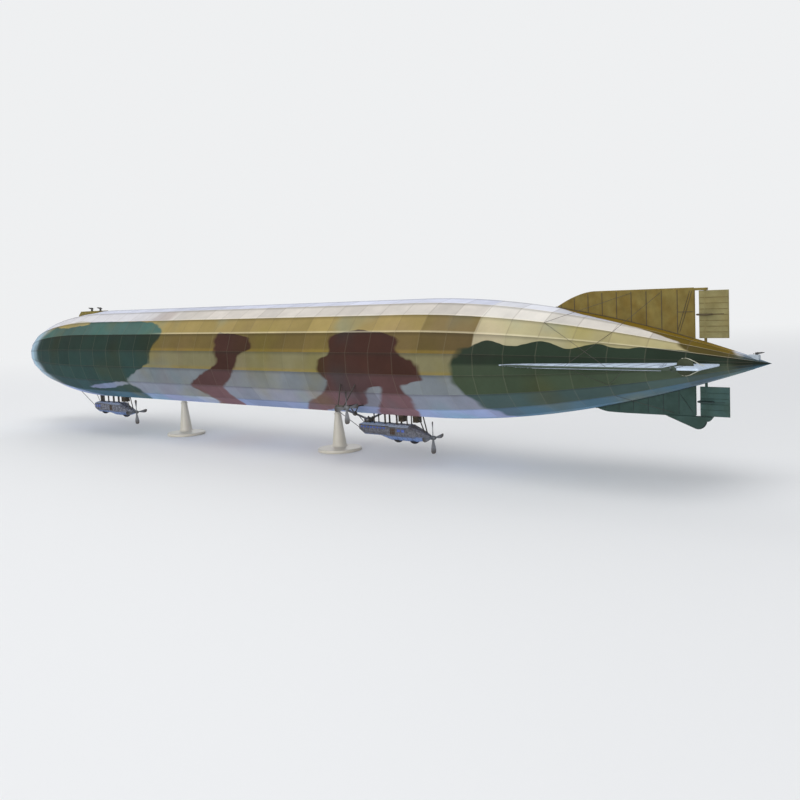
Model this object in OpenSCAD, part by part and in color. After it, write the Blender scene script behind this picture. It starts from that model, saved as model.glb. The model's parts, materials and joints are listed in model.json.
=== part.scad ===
// Rigid airship display model on two round stands, at about 1/350.
// In every module x is the station, measured along the hull from the nose tip, y is positive to starboard
// and z is measured up from the hull's centre line. The last lines lift all of it onto the stands.

/* [Hull] */
// Length from nose tip to tail tip
hull_length = 510; // [500:1:520]
// Diameter over the lengthwise corners amidships
hull_diameter = 54.3; // [52:0.1:57]
// Flat panels round the hull
hull_sides = 18; // [14, 18, 22]
// Length of the rounded nose
nose_length = 96; // [88:1:104]
// Bluntness of the nose, higher is blunter
nose_power = 1.75; // [1.6:0.05:2]
// Length of the tapered tail
tail_length = 156; // [148:1:164]
// Roundness of the tail, 1 is a straight cone
tail_power = 1.95; // [1.8:0.05:2.1]
// Thickness of the moulded half shells
hull_wall = 1.5; // [1.3:0.1:2]
// Length of solid plastic at the tail end
solid_tail = 32; // [29:1:38]
// Radius of the small flat on the nose tip
nose_flat = 1.2; // [0.8:0.1:2]
// Radius of the tail tip
tail_tip = 0.5; // [0.4:0.1:0.8]
// Radial depth of the ring formers inside the hull
former_depth = 6.5; // [5.5:0.5:9]
// Thickness of a plain ring former
former_thickness = 1.6; // [1:0.1:3]

/* [Stands] */
// Station of the front stand
front_stand_station = 164; // [150:1:180]
// Station of the rear stand
rear_stand_station = 292; // [275:1:302]
// Height from the table to the hull's lowest corner
stand_height = 20; // [18:0.5:30]
// Diameter of the round base
stand_base_diameter = 22; // [18:0.5:30]
// Thickness of the base at its rim
stand_base_thickness = 1.6; // [1.2:0.1:3]
// Diameter of the post where it meets the base
stand_foot_diameter = 7; // [5:0.5:10]
// Diameter of the post under the hull
stand_top_diameter = 3; // [2.6:0.1:4]
// Diameter of the peg that plugs into the hull
stand_peg_diameter = 2; // [1.6:0.1:2.4]
// Length of the peg above the post
stand_peg_length = 5.5; // [4:0.5:6]
// Thickness of the former that takes a stand's peg
stand_former_thickness = 5; // [4:0.5:8]

/* [Gun platform] */
// Station of the platform's front edge
platform_station = 63; // [60:1:68]
// Length of the platform
platform_length = 22; // [20:0.5:24]
// Width of the platform
platform_width = 8; // [7:0.5:9]
// Height of the deck rim over the crest at its rear edge
platform_rise = 0.6; // [0.4:0.1:1]
// Slope of the platform's front face, measured along the hull
platform_slope = 2.6; // [1.5:0.1:4]
// Depth of the deck inside its rim
deck_recess = 0.4; // [0.2:0.1:0.6]
// Thickness of the rim round the deck
rim_wall = 0.7; // [0.5:0.1:1.2]
// Height of a gun pedestal
pedestal_height = 1.4; // [1.2:0.1:2]
// Spacing of the two guns
gun_spacing = 10; // [8:0.5:11]
// Length of a platform gun from grips to muzzle
gun_length = 5.6; // [4.5:0.1:7]
// Angle that the barrels point above level
gun_elevation = 8; // [0:1:20]
// Station of the tail gun's pivot, ahead of the tail tip
tail_gun_from_tail = 5.2; // [4.8:0.1:6]
// Size of the tail gun as a share of the platform guns
tail_gun_share = 0.7; // [0.7:0.05:1]

/* [Tail surfaces] */
// Hinge line of the rudders and elevators, ahead of the tail tip
hinge_from_tail = 24.2; // [22:0.1:26]
// Chord of a rudder or elevator behind its hinge line
blade_chord = 8.7; // [7:0.1:10]
// Balance area of a rudder or elevator ahead of its hinge line
blade_balance = 2.2; // [1.6:0.1:2.6]
// Open gap between a fin and its rudder or elevator
fin_gap = 2.2; // [1.6:0.1:3]
// Thickness of the fins
fin_thickness = 1; // [0.8:0.1:1.4]
// Thickness of the rudders and elevators
blade_thickness = 0.8; // [0.6:0.1:1]
// Height of the upper fin over the centre line
upper_fin_height = 27.4; // [26:0.1:29]
// Length of the upper fin along the hull
upper_fin_length = 61; // [55:1:66]
// Length of the upper fin's curved leading edge
upper_fin_curve = 19; // [15:1:25]
// Depth of the lower fin under the centre line
lower_fin_depth = 20.1; // [19:0.1:21]
// Span of the side fins from the centre line
side_fin_span = 27.2; // [26.5:0.1:29]
// Length of the side fins along the hull
side_fin_length = 73; // [66:1:76]
// Length of the side fins' curved leading edge
side_fin_curve = 24; // [18:1:30]
// Spacing of the ribs on the fins
fin_rib_pitch = 6.8; // [5:0.1:9]
// Spacing of the ribs on the rudders and elevators
blade_rib_pitch = 2; // [1.6:0.1:3]
// Width of a rib
rib_width = 0.45; // [0.3:0.05:0.6]
// Height of a rib over the sheet
rib_proud = 0.12; // [0.08:0.02:0.2]
// Diameter of the pivot stock in a rudder or elevator
stock_diameter = 1; // [0.9:0.1:1.2]
// Depth that a stock reaches into the hull
stock_depth = 2; // [1.5:0.1:2.5]
// Radius of the half-disc control horns
horn_radius = 3.2; // [2.6:0.1:3.4]
// Thickness of the control horns
horn_thickness = 0.6; // [0.4:0.1:0.8]
// Depth of the bumper skid under the lower fin
skid_depth = 4.6; // [4:0.1:6]
// Length of the skid's straight slope
skid_run = 12; // [9:0.5:16]
// Thickness of the skid
skid_thickness = 2; // [1.8:0.1:2.6]

/* [Gondolas] */
// Width of the gondolas
gondola_width = 6.4; // [5.8:0.1:7]
// Station of the forward gondola's front
fwd_gondola_station = 69; // [64:0.5:74]
// Length of the forward gondola to its propeller bearing
fwd_gondola_length = 43.4; // [42.5:0.1:48]
// Drop from the hull's lowest corner to the forward gondola's roof
fwd_gondola_drop = 3.9; // [3.5:0.1:5]
// Depth of the forward gondola's cabin
fwd_cabin_depth = 6.5; // [6:0.1:7]
// Depth of the forward gondola's engine room
fwd_engine_depth = 7.6; // [7.2:0.1:8]
// Station of the rear gondola's front
rear_gondola_station = 308; // [300:0.5:312]
// Length of the rear gondola to its propeller bearing
rear_gondola_length = 44.2; // [43.5:0.1:48]
// Drop from the hull's lowest corner to the rear gondola's roof
rear_gondola_drop = 4.4; // [4:0.1:5.5]
// Depth of the rear gondola's cabin
rear_cabin_depth = 5.7; // [5.4:0.1:6.4]
// Depth of the rear gondola's engine room
rear_engine_depth = 7.5; // [7.2:0.1:8]
// Drop from a gondola's roof to its propeller shaft
propeller_drop = 5.2; // [5:0.1:5.4]
// Thickness of the roof piece
roof_thickness = 1; // [0.8:0.1:1.2]
// Depth that the window panes are let into the sides
pane_depth = 0.5; // [0.3:0.1:0.8]
// Diameter of the bumper cushions
bumper_diameter = 4.6; // [4:0.1:5]
// Depth of the bumper cushions
bumper_depth = 1.3; // [1:0.1:1.6]
// Diameter of the thick suspension struts
strut_diameter = 0.9; // [0.7:0.1:1]
// Diameter of the stay wires
wire_diameter = 0.36; // [0.3:0.02:0.5]

/* [Propellers] */
// Diameter of a propeller
propeller_diameter = 15; // [13:0.5:16]
// Greatest width of a blade
blade_width = 2.5; // [2:0.1:3]
// Pitch angle of a blade at its tip
blade_tip_pitch = 20; // [12:1:30]
// Pitch angle of a blade at its root
blade_root_pitch = 55; // [40:1:60]
// Diameter of a propeller hub
hub_diameter = 2; // [1.8:0.1:2.4]
// Diameter of a propeller shaft
shaft_diameter = 0.8; // [0.7:0.05:0.9]

/* [Outriggers] */
// Station of the outrigger gear housings' rear end
outrigger_station = 328; // [324:0.5:332]
// Distance of the outrigger propellers from the centre plane
outrigger_reach = 31; // [30:0.5:34]
// Drop of the outrigger propellers under the centre line
outrigger_drop = 19.9; // [18.5:0.1:22]
// Length of an outrigger gear housing
housing_length = 5; // [4.5:0.1:7]
// Diameter of an outrigger gear housing
housing_diameter = 2.2; // [2:0.1:2.8]
// Diameter of the slanting drive shafts
drive_shaft_diameter = 1; // [0.8:0.1:1.2]
// Height of the bevel gear tower on the rear gondola
tower_height = 2.2; // [1.8:0.1:2.6]

/* [Clearances] */
// Radial clearance of a shaft, stock or pivot in its bore
running_clearance = 0.05; // [0.03:0.01:0.08]
// Gap where a piece is seated on or in another
seat_gap = 0.06; // [0.04:0.01:0.1]
// Open gap beside a part that swings
swing_gap = 0.3; // [0.2:0.05:0.5]

/* [Hidden] */
$fn = 48;
eps = 0.01;

// Hull form: a blunt nose, a parallel middle and a long tail, all on a many-sided section
hull_radius = hull_diameter/2;
axis_height = stand_height + hull_radius;
tail_start = hull_length - tail_length;
panel_angle = 360/hull_sides;
panel_share = cos(panel_angle/2);
nose_steps = 11;
tail_steps = 14;
nose_wall = 1.4*hull_wall;
least_bore = 0.4;

stations = concat(
  [for (i = [0:nose_steps]) nose_length*pow(i/nose_steps, 2)],
  [for (i = [0:tail_steps]) tail_start + tail_length*i/tail_steps]);

function hull_curve(t) =
  t <= nose_length ? max(nose_flat, hull_radius*sqrt(max(0, 1 - pow(1 - t/nose_length, nose_power)))) :
  t >= tail_start ? max(tail_tip, hull_radius*(1 - pow((t - tail_start)/tail_length, tail_power))) :
  hull_radius;

hull_table = [for (t = stations) [t, hull_curve(t)]];

// Corner radius of the faceted hull at station t, and the stations from a to b with both ends
function hull_r(t) = lookup(t, hull_table);
function flat_r(t) = hull_r(t)*panel_share;
function span(a, b) = concat([a], [for (t = stations) if (t > a && t < b) t], [b]);

// Radius of the hull's skin at an angle down from its crest
function skin_r(t, angle) = flat_r(t)/cos(angle%panel_angle - panel_angle/2);

function ring(t, r) = [for (k = [0:hull_sides - 1]) let (a = 90 + k*panel_angle) [t, r*cos(a), r*sin(a)]];

// A closed solid through rings of points that run anticlockwise as seen from the far end
module loft(rings) {
  n = len(rings[0]);
  m = len(rings);
  function at(i, k) = i*n + k%n;
  polyhedron(
    points = [for (r = rings) each r],
    faces = concat(
      [[for (k = [0:n - 1]) at(0, k)]],
      [[for (k = [n - 1:-1:0]) at(m - 1, k)]],
      [for (i = [0:m - 2], k = [0:n - 1]) [at(i, k), at(i + 1, k), at(i + 1, k + 1)]],
      [for (i = [0:m - 2], k = [0:n - 1]) [at(i, k), at(i + 1, k + 1), at(i, k + 1)]]));
}

// The outer form of the hull between two stations, to trim what is seated on it
module hull_slice(a, b) {
  loft([for (t = span(a, b)) ring(t, hull_r(t) + seat_gap)]);
}

// A straight bar with flat sides between two points
module bar(a, b, d) {
  v = b - a;
  translate(a)
    rotate([0, acos(v.z/norm(v)), atan2(v.y, v.x)])
      cylinder(d = d, h = norm(v), $fn = 8);
}

// A round rod or bore between two points
module rod(a, b, d) {
  v = b - a;
  translate(a)
    rotate([0, acos(v.z/norm(v)), atan2(v.y, v.x)])
      cylinder(d = d, h = norm(v));
}

// A flat sheet of the given outline, in stations and heights, on the centre plane
module upright_sheet(outline, thickness) {
  rotate([90, 0, 0])
    linear_extrude(thickness, center = true)
      polygon(outline);
}

module level_sheet(outline, thickness) {
  linear_extrude(thickness, center = true)
    polygon(outline);
}

// One half of the hull as a closed shell: outer skin, inner skin, seam faces and ends
module half_shell(side) {
  m = len(stations);
  n = hull_sides/2 + 1;
  function inner_t(t) = t <= nose_length
    ? nose_wall + t*(nose_length - nose_wall)/nose_length
    : tail_start + (t - tail_start)*(tail_length - solid_tail)/tail_length;
  function inner_r(t) = max(least_bore, hull_r(inner_t(t)) - hull_wall);
  function half_ring(t, r) = [for (k = [0:n - 1]) [t, side*r*sin(k*panel_angle), r*cos(k*panel_angle)]];
  function o(i, k) = i*n + k;
  function q(i, k) = (m + i)*n + k;
  function turned(f) = side > 0 ? f : [for (j = [len(f) - 1:-1:0]) f[j]];
  skin = [for (i = [0:m - 2], k = [0:n - 2]) each [
    [o(i, k), o(i, k + 1), o(i + 1, k + 1)], [o(i, k), o(i + 1, k + 1), o(i + 1, k)],
    [q(i, k), q(i + 1, k + 1), q(i, k + 1)], [q(i, k), q(i + 1, k), q(i + 1, k + 1)]]];
  seam = [for (i = [0:m - 2]) each [
    [o(i, 0), o(i + 1, 0), q(i + 1, 0)], [o(i, 0), q(i + 1, 0), q(i, 0)],
    [q(i, n - 1), q(i + 1, n - 1), o(i + 1, n - 1)], [q(i, n - 1), o(i + 1, n - 1), o(i, n - 1)]]];
  ends = [
    [for (k = [n - 1:-1:0]) o(0, k)], [for (k = [0:n - 1]) o(m - 1, k)],
    [for (k = [0:n - 1]) q(0, k)], [for (k = [n - 1:-1:0]) q(m - 1, k)],
    [o(0, 0), q(0, 0), q(0, n - 1), o(0, n - 1)],
    [q(m - 1, 0), o(m - 1, 0), o(m - 1, n - 1), q(m - 1, n - 1)]];
  polyhedron(
    points = concat(
      [for (t = stations) each half_ring(t, hull_r(t))],
      [for (t = stations) each half_ring(inner_t(t), inner_r(t))]),
    faces = [for (f = concat(skin, seam, ends)) turned(f)]);
}

// Tail layout
hinge = hull_length - hinge_from_tail;
blade_front = hinge - blade_balance;
blade_rear = hinge + blade_chord;
fin_rear = blade_front - fin_gap;
tab_depth = 0.65*hull_wall;
boom_depth = 0.9;
boss_diameter = stock_diameter + 1;
fin_lip = 0.8;
curve_steps = 8;
edge_power = 1.7;
upper_fin_start = fin_rear - upper_fin_length;
side_fin_start = fin_rear - side_fin_length;
lower_fin_start = tail_start + tail_length*pow(1 - (lower_fin_depth - fin_lip)/hull_radius, 1/tail_power);
lower_fin_curve = 6;
stock_bore = stock_diameter + 2*running_clearance;

// Height of a fin's leading edge; share is the part of the corner radius where the fin is rooted
function edge_height(t, start, curve, height, share) = let (
    base = share*hull_r(start),
    u = min(1, max(0, (t - start)/curve)))
  base + (height - base)*(1 - pow(1 - u, edge_power));

function fin_outline(start, curve, height, share) = concat(
  [for (t = span(start, fin_rear)) [t, share*hull_r(t) - tab_depth]],
  [[fin_rear, height]],
  [for (i = [curve_steps:-1:0]) let (t = start + curve*i/curve_steps)
    [t, edge_height(t, start, curve, height, share)]]);

function boom_outline(height) = [[fin_rear - fin_lip, height - boom_depth], [hinge, height - boom_depth],
  [hinge, height], [fin_rear - fin_lip, height]];

function pocket_outline(start, share) = concat(
  [for (t = span(start - seat_gap, fin_rear + seat_gap)) [t, share*hull_r(t) - tab_depth - seat_gap]],
  [[fin_rear + seat_gap, hull_radius], [start - seat_gap, hull_radius]]);

// Upright ribs across both faces of a fin, as cuts of a sheet in stations and heights
module fin_ribs(start, curve, height, share) {
  for (t = [fin_rear - rib_width:-fin_rib_pitch:start + fin_rib_pitch]) {
    foot = share*hull_r(t - rib_width) + swing_gap;
    head = edge_height(t - rib_width, start, curve, height, share) - rib_width;
    if (head > foot + rib_width)
      translate([t - rib_width, foot])
        square([rib_width, head - foot]);
  }
}

// Slanting braces in the last bay of a fin
module fin_brace(height, share) {
  foot_t = fin_rear - fin_rib_pitch - rib_width;
  foot = share*hull_r(foot_t) + swing_gap;
  head = height - 2*rib_width;
  polygon([[foot_t, foot], [foot_t + rib_width, foot], [fin_rear - rib_width, head],
    [fin_rear - 2*rib_width, head]]);
}

module fin_sheet(start, curve, height, share) {
  linear_extrude(fin_thickness, center = true)
    polygon(fin_outline(start, curve, height, share));
  linear_extrude(fin_thickness + 2*rib_proud, center = true) {
    fin_ribs(start, curve, height, share);
    fin_brace(height, share);
  }
}

// The boom at a fin's tip with the eye that holds the outer end of a stock
module fin_boom(height) {
  linear_extrude(fin_thickness, center = true)
    polygon(boom_outline(height));
  translate([hinge, height, 0])
    rotate([90, 0, 0])
      cylinder(d = boss_diameter, h = boom_depth);
}

module boom_eye(height) {
  translate([hinge, height + eps, 0])
    rotate([90, 0, 0])
      cylinder(d = stock_bore, h = boom_depth + 2*eps);
}

module boomed_fin(start, curve, height, share) {
  difference() {
    union() {
      fin_sheet(start, curve, height, share);
      fin_boom(height);
    }
    boom_eye(height);
  }
}

module fin_pocket(start, share) {
  linear_extrude(fin_thickness + 2*seat_gap, center = true)
    polygon(pocket_outline(start, share));
}

module upright() {
  rotate([90, 0, 0]) children();
}

// Hull halves with the peg holes, fin pockets and stock bores shared along the seam
peg_hole = stand_peg_diameter + 2*seat_gap;

module hull_half(side) {
  difference() {
    half_shell(side);
    for (t = [front_stand_station, rear_stand_station])
      translate([t, 0, -hull_radius - 1])
        cylinder(d = peg_hole, h = hull_wall + 2);
    upright() fin_pocket(upper_fin_start, 1);
    mirror([0, 0, 1]) upright() fin_pocket(lower_fin_start, 1);
    mirror([0, side < 0 ? 1 : 0, 0]) fin_pocket(side_fin_start, panel_share);
    for (up = [0, 1])
      mirror([0, 0, up])
        translate([hinge, 0, hull_r(hinge) - stock_depth - seat_gap])
          cylinder(d = stock_bore, h = stock_depth + 1);
    translate([hinge, side*(flat_r(hinge) - stock_depth - seat_gap), 0])
      rotate([-90*side, 0, 0])
        cylinder(d = stock_bore, h = stock_depth + 1);
  }
}

module hull_port() {
  color("#8d8258") hull_half(-1);
}

module hull_starboard() {
  color("#8d8258") hull_half(1);
}

// Ring formers in the parallel middle of the hull: one between the stands and one either side of them
former_stations = [(nose_length + front_stand_station)/2, (front_stand_station + rear_stand_station)/2,
  (rear_stand_station + tail_start)/2];
former_radius = hull_radius - hull_wall - seat_gap;

module former_ring(t, thickness) {
  translate([t - thickness/2, 0, 0])
    rotate([90, 0, 90])
      linear_extrude(thickness)
        difference() {
          polygon([for (p = ring(0, former_radius)) [p.y, p.z]]);
          circle(former_radius*panel_share - former_depth);
        }
}

module hull_formers() {
  color("#b9b5aa")
    for (t = former_stations) former_ring(t, former_thickness);
}

module stand_formers() {
  color("#b9b5aa")
    for (t = [front_stand_station, rear_stand_station])
      difference() {
        former_ring(t, stand_former_thickness);
        translate([t, 0, -hull_radius])
          cylinder(d = peg_hole, h = stand_peg_length + seat_gap);
      }
}

// Gun platform: a level deck in a low rim, wedge shaped to sit on the rising crest of the nose
platform_rear = platform_station + platform_length;
deck_rim = hull_r(platform_rear) + platform_rise;
deck_floor = deck_rim - deck_recess;
platform_foot = hull_r(platform_station) - platform_width/2;
rear_gun_inset = 2.5;
gun_stations = [for (i = [1, 0]) platform_rear - rear_gun_inset - i*gun_spacing];

module gun_platform() {
  color("#a8862f")
    difference() {
      upright_sheet([[platform_station, platform_foot], [platform_station, hull_r(platform_station)],
        [platform_station + platform_slope, deck_rim], [platform_rear, deck_rim],
        [platform_rear, platform_foot]], platform_width);
      hull_slice(platform_station - 2, platform_rear + 2);
      translate([platform_station + platform_slope + rim_wall, rim_wall - platform_width/2, deck_floor])
        cube([platform_length - platform_slope - 2*rim_wall, platform_width - 2*rim_wall, 2*deck_recess]);
    }
}

// Guns on pivot pins; the pedestals are short cones with a bore for the pin
pin_diameter = 0.5;
pin_depth = 0.8;
pin_bore = pin_diameter + 2*running_clearance;
pedestal_foot = 1.9;
pedestal_head = 1.1;
receiver = [1.9, 0.8, 0.9];
jacket_diameter = 0.8;
jacket_reach = 0.5*gun_length;
muzzle_diameter = 0.5;
muzzle_reach = 0.65*gun_length;
grip_reach = 0.35*gun_length;
grip_length = 0.2*gun_length;

module gun_pedestals() {
  color("#3b3a36")
    for (t = gun_stations)
      translate([t, 0, deck_floor])
        difference() {
          cylinder(d1 = pedestal_foot, d2 = pedestal_head, h = pedestal_height);
          translate([0, 0, pedestal_height - pin_depth - seat_gap])
            cylinder(d = pin_bore, h = pin_depth + 1);
        }
}

// A gun with its receiver over the pivot, a cooling jacket, a muzzle and a rear grip
module gun(aim, share) {
  block = share*receiver;
  translate([0, 0, -pin_depth])
    cylinder(d = pin_diameter, h = pin_depth + block.z/2);
  translate([0, 0, swing_gap/2])
    rotate([0, 0, aim])
      translate([0, 0, block.z/2])
        rotate([0, -gun_elevation, 0]) {
          cube(block, center = true);
          rotate([0, 90, 0])
            cylinder(d = share*jacket_diameter, h = share*jacket_reach);
          rotate([0, 90, 0])
            cylinder(d = share*muzzle_diameter, h = share*muzzle_reach);
          translate([-share*grip_reach, -block.y/4, -block.z/4])
            cube([share*grip_length, block.y/2, block.z/2]);
        }
}

module top_gun(i) {
  color("#2c2b29")
    translate([gun_stations[i], 0, deck_floor + pedestal_height])
      gun(180, 1);
}

module front_gun() {
  top_gun(0);
}

module rear_gun() {
  top_gun(1);
}

// Tail gun on a small saddle that is faired into the tail cone ahead of it
tail_gun_station = hull_length - tail_gun_from_tail;
seat_fairing = 3.4;
seat_half = 0.9;
seat_width = 1.8;
seat_lip = 0.2;
seat_floor = 0.3;
seat_top = hull_r(tail_gun_station) + seat_floor + pin_depth;

module tail_gun_seat() {
  color("#b7bcc4")
    difference() {
      upright_sheet([[tail_gun_station - seat_fairing, 0],
        [tail_gun_station - seat_fairing, hull_r(tail_gun_station - seat_fairing) + seat_lip],
        [tail_gun_station - seat_half, seat_top], [tail_gun_station + seat_half, seat_top],
        [tail_gun_station + seat_half, 0]], seat_width);
      hull_slice(tail_gun_station - 2*seat_fairing, hull_length);
      translate([tail_gun_station, 0, seat_top - pin_depth - seat_gap])
        cylinder(d = pin_bore, h = pin_depth + 1);
    }
}

module tail_gun() {
  color("#2c2b29")
    translate([tail_gun_station, 0, seat_top])
      gun(0, tail_gun_share);
}

// Fins
module upper_fin() {
  color("#9c8136")
    upright() boomed_fin(upper_fin_start, upper_fin_curve, upper_fin_height, 1);
}

module lower_fin() {
  color("#2e4a44")
    mirror([0, 0, 1])
      upright() fin_sheet(lower_fin_start, lower_fin_curve, lower_fin_depth, 1);
}

module starboard_fin() {
  color("#c9cbd6")
    boomed_fin(side_fin_start, side_fin_curve, side_fin_span, panel_share);
}

module port_fin() {
  color("#c9cbd6")
    mirror([0, 1, 0])
      boomed_fin(side_fin_start, side_fin_curve, side_fin_span, panel_share);
}

// Bumper skid glued under the lower fin; its rear carries the lower rudder's stock
skid_radius = 3.2;
skid_centre = [fin_rear + 1, lower_fin_depth + skid_depth - skid_radius];
skid_heel = stock_diameter/2 + 0.5;
skid_pin = 1;

module tail_skid() {
  color("#2e4a44")
    mirror([0, 0, 1])
      difference() {
        upright_sheet(concat(
          [[fin_rear - skid_run, lower_fin_depth], [hinge + 2.6*skid_heel, lower_fin_depth],
            [hinge + skid_heel, lower_fin_depth + 1.8*skid_pin]],
          [for (a = [10:10:110]) skid_centre + skid_radius*[cos(a), sin(a)]]), skid_thickness);
        translate([hinge, 0, lower_fin_depth - eps])
          cylinder(d = stock_bore, h = skid_pin + seat_gap);
      }
}

// Rudders: a ribbed sheet on a round stock that runs in the hull below and the fin's boom above
function rudder_foot() = hull_r(fin_rear) + swing_gap;

module rudder(foot, head, pin) {
  height = head - foot;
  ribs = 2*floor(height/blade_rib_pitch/2);
  translate([blade_front, -blade_thickness/2, foot])
    cube([blade_rear - blade_front, blade_thickness, height]);
  for (i = [0:ribs - 1])
    translate([blade_front, -blade_thickness/2 - rib_proud,
      foot + height/2 + (i - (ribs - 1)/2)*blade_rib_pitch - rib_width/2])
      cube([blade_rear - blade_front, blade_thickness + 2*rib_proud, rib_width]);
  translate([hinge, 0, hull_r(hinge) - stock_depth])
    cylinder(d = stock_diameter, h = head + pin - hull_r(hinge) + stock_depth);
}

upper_rudder_head = upper_fin_height - boom_depth - swing_gap;
lower_rudder_head = lower_fin_depth - swing_gap;

module upper_rudder() {
  color("#a38a3f")
    rudder(rudder_foot(), upper_rudder_head, swing_gap + boom_depth);
}

module lower_rudder() {
  color("#2e4a44")
    mirror([0, 0, 1])
      rudder(rudder_foot(), lower_rudder_head, swing_gap + skid_pin);
}

// Half-disc control horns on both faces of a rudder or elevator, round its stock
module horn_pair() {
  difference() {
    cylinder(r = horn_radius, h = horn_thickness, center = true);
    cube([4*horn_radius, blade_thickness, 2*horn_thickness], center = true);
    cylinder(d = stock_diameter + 2*seat_gap, h = 2*horn_thickness, center = true);
  }
}

module upper_rudder_horns() {
  color("#7d6a2e")
    translate([hinge, 0, (rudder_foot() + upper_rudder_head)/2])
      horn_pair();
}

module lower_rudder_horns() {
  color("#243a36")
    translate([hinge, 0, -(rudder_foot() + lower_rudder_head)/2])
      horn_pair();
}

// Elevators: as the rudders, with a straight inner edge clear of the tail cone
elevator_tip = side_fin_span - boom_depth - swing_gap;
elevator_root_gap = 0.6;
elevator_root = flat_r(blade_front) + elevator_root_gap;

module elevator() {
  rib_reach = elevator_tip - elevator_root;
  ribs = 2*floor(rib_reach/blade_rib_pitch/2);
  level_sheet([[blade_front, elevator_root], [blade_front, elevator_tip], [blade_rear, elevator_tip],
    [blade_rear, elevator_root]], blade_thickness);
  for (i = [0:ribs - 1])
    translate([blade_front, elevator_root + rib_reach/2 + (i - (ribs - 1)/2)*blade_rib_pitch - rib_width/2,
      -blade_thickness/2 - rib_proud])
      cube([blade_rear - blade_front, rib_width, blade_thickness + 2*rib_proud]);
  translate([hinge, flat_r(hinge) - stock_depth, 0])
    rotate([-90, 0, 0])
      cylinder(d = stock_diameter, h = side_fin_span - flat_r(hinge) + stock_depth);
}

module elevator_horns() {
  translate([hinge, (elevator_root + elevator_tip)/2, 0])
    rotate([90, 0, 0])
      horn_pair();
}

module starboard_elevator() {
  color("#c9cbd6") elevator();
}

module port_elevator() {
  color("#c9cbd6") mirror([0, 1, 0]) elevator();
}

module starboard_elevator_horns() {
  color("#3f4a3a") elevator_horns();
}

module port_elevator_horns() {
  color("#3f4a3a") mirror([0, 1, 0]) elevator_horns();
}

// Gondola form: a hard-chined boat with a crowned roof, drawn through a few cross-sections.
// Each section is [distance from the front, roof below the roof line, keel below the roof line, half width]
half_width = gondola_width/2;
crown_share = 0.7;
keel_share = 0.45;
chine_share = 0.3;
shoulder_share = 0.16;
tail_end = shaft_diameter/2 + 0.5;

function gondola_ring(s) = let (
    depth = s[2] - s[1],
    shoulder = -s[1] - shoulder_share*depth,
    chine = -s[2] + chine_share*depth)
  [[s[0], s[3], chine], [s[0], s[3], shoulder], [s[0], crown_share*s[3], -s[1]],
    [s[0], -crown_share*s[3], -s[1]], [s[0], -s[3], shoulder], [s[0], -s[3], chine],
    [s[0], -keel_share*s[3], -s[2]], [s[0], keel_share*s[3], -s[2]]];

fwd_tail_joint = 36.5;
fwd_roof_end = 31;
fwd_body = [
  [0, 1.5, 4, 0.5*half_width],
  [2, 0.6, fwd_cabin_depth - 0.8, 0.8*half_width],
  [5, 0, fwd_cabin_depth, 0.95*half_width],
  [18, 0, fwd_cabin_depth, half_width],
  [24, 0, fwd_engine_depth, half_width],
  [fwd_roof_end, 0, fwd_engine_depth, half_width],
  [fwd_tail_joint, 2.5, fwd_engine_depth, 0.8*half_width]];
fwd_cone = [
  [fwd_tail_joint, 2.5, fwd_engine_depth, 0.8*half_width],
  [fwd_gondola_length, propeller_drop - tail_end, propeller_drop + tail_end, tail_end]];

rear_tail_joint = 37;
rear_roof_end = 33;
rear_body = [
  [0, 1.6, 3.4, 0.5*half_width],
  [1.2, 0.6, rear_cabin_depth - 1.3, 0.8*half_width],
  [3.5, 0, rear_cabin_depth, 0.95*half_width],
  [14, 0, rear_cabin_depth, half_width],
  [21, 0, rear_engine_depth, half_width],
  [rear_roof_end, 0, rear_engine_depth, half_width],
  [rear_tail_joint, 1.4, rear_engine_depth, 0.85*half_width]];
rear_cone = [
  [rear_tail_joint, 1.4, rear_engine_depth, 0.85*half_width],
  [rear_gondola_length, propeller_drop - tail_end, propeller_drop + tail_end, tail_end]];

module at_fwd() {
  translate([fwd_gondola_station, 0, -hull_radius - fwd_gondola_drop]) children();
}

module at_rear() {
  translate([rear_gondola_station, 0, -hull_radius - rear_gondola_drop]) children();
}

module gondola_form(sections) {
  loft([for (s = sections) gondola_ring(s)]);
}

function width_at(sections, x) = lookup(x, [for (s = sections) [s[0], s[3]]]);

// The space of the roof piece, over a level joint
module roof_space(roof_end) {
  translate([-1, -gondola_width, -roof_thickness])
    cube([roof_end + 1, 2*gondola_width, 4]);
}

// The space that a window or door takes in each side: [start, length, top, height]
module side_openings(sections, openings, gap) {
  for (w = openings, side = [0, 1]) {
    inner = min(width_at(sections, w[0]), width_at(sections, w[0] + w[1])) - pane_depth;
    mirror([0, side, 0])
      translate([w[0] + gap, inner, -w[2] - w[3] + gap])
        cube([w[1] - 2*gap, gondola_width, w[3] - 2*gap]);
  }
}

module front_opening(sections, gap) {
  half = 0.75*sections[0][3] - gap;
  top = sections[0][1] + 0.5 + gap;
  foot = sections[0][2] - 0.8 - gap;
  translate([-1, -half, -foot])
    cube([1 + pane_depth, 2*half, foot - top]);
}

module shaft_bore(length, depth) {
  translate([length - depth, 0, -propeller_drop])
    rotate([0, 90, 0])
      cylinder(d = shaft_diameter + 2*running_clearance, h = depth + 1);
}

pane_gap = 0.03;
bearing_depth = 4.5;

// Forward gondola
fwd_windows = [for (i = [0:2]) [1.2 + 2.7*i, 2.3, 1.5, 2]];
fwd_doors = [[20, 2.4, 1.4, 3.2]];

module fwd_gondola_tub() {
  color("#77797c")
    at_fwd()
      difference() {
        gondola_form(fwd_body);
        roof_space(fwd_roof_end);
        side_openings(fwd_body, concat(fwd_windows, fwd_doors), 0);
        front_opening(fwd_body, 0);
      }
}

module fwd_gondola_roof() {
  color("#a3abb8")
    at_fwd()
      intersection() {
        gondola_form(fwd_body);
        roof_space(fwd_roof_end);
      }
}

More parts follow.
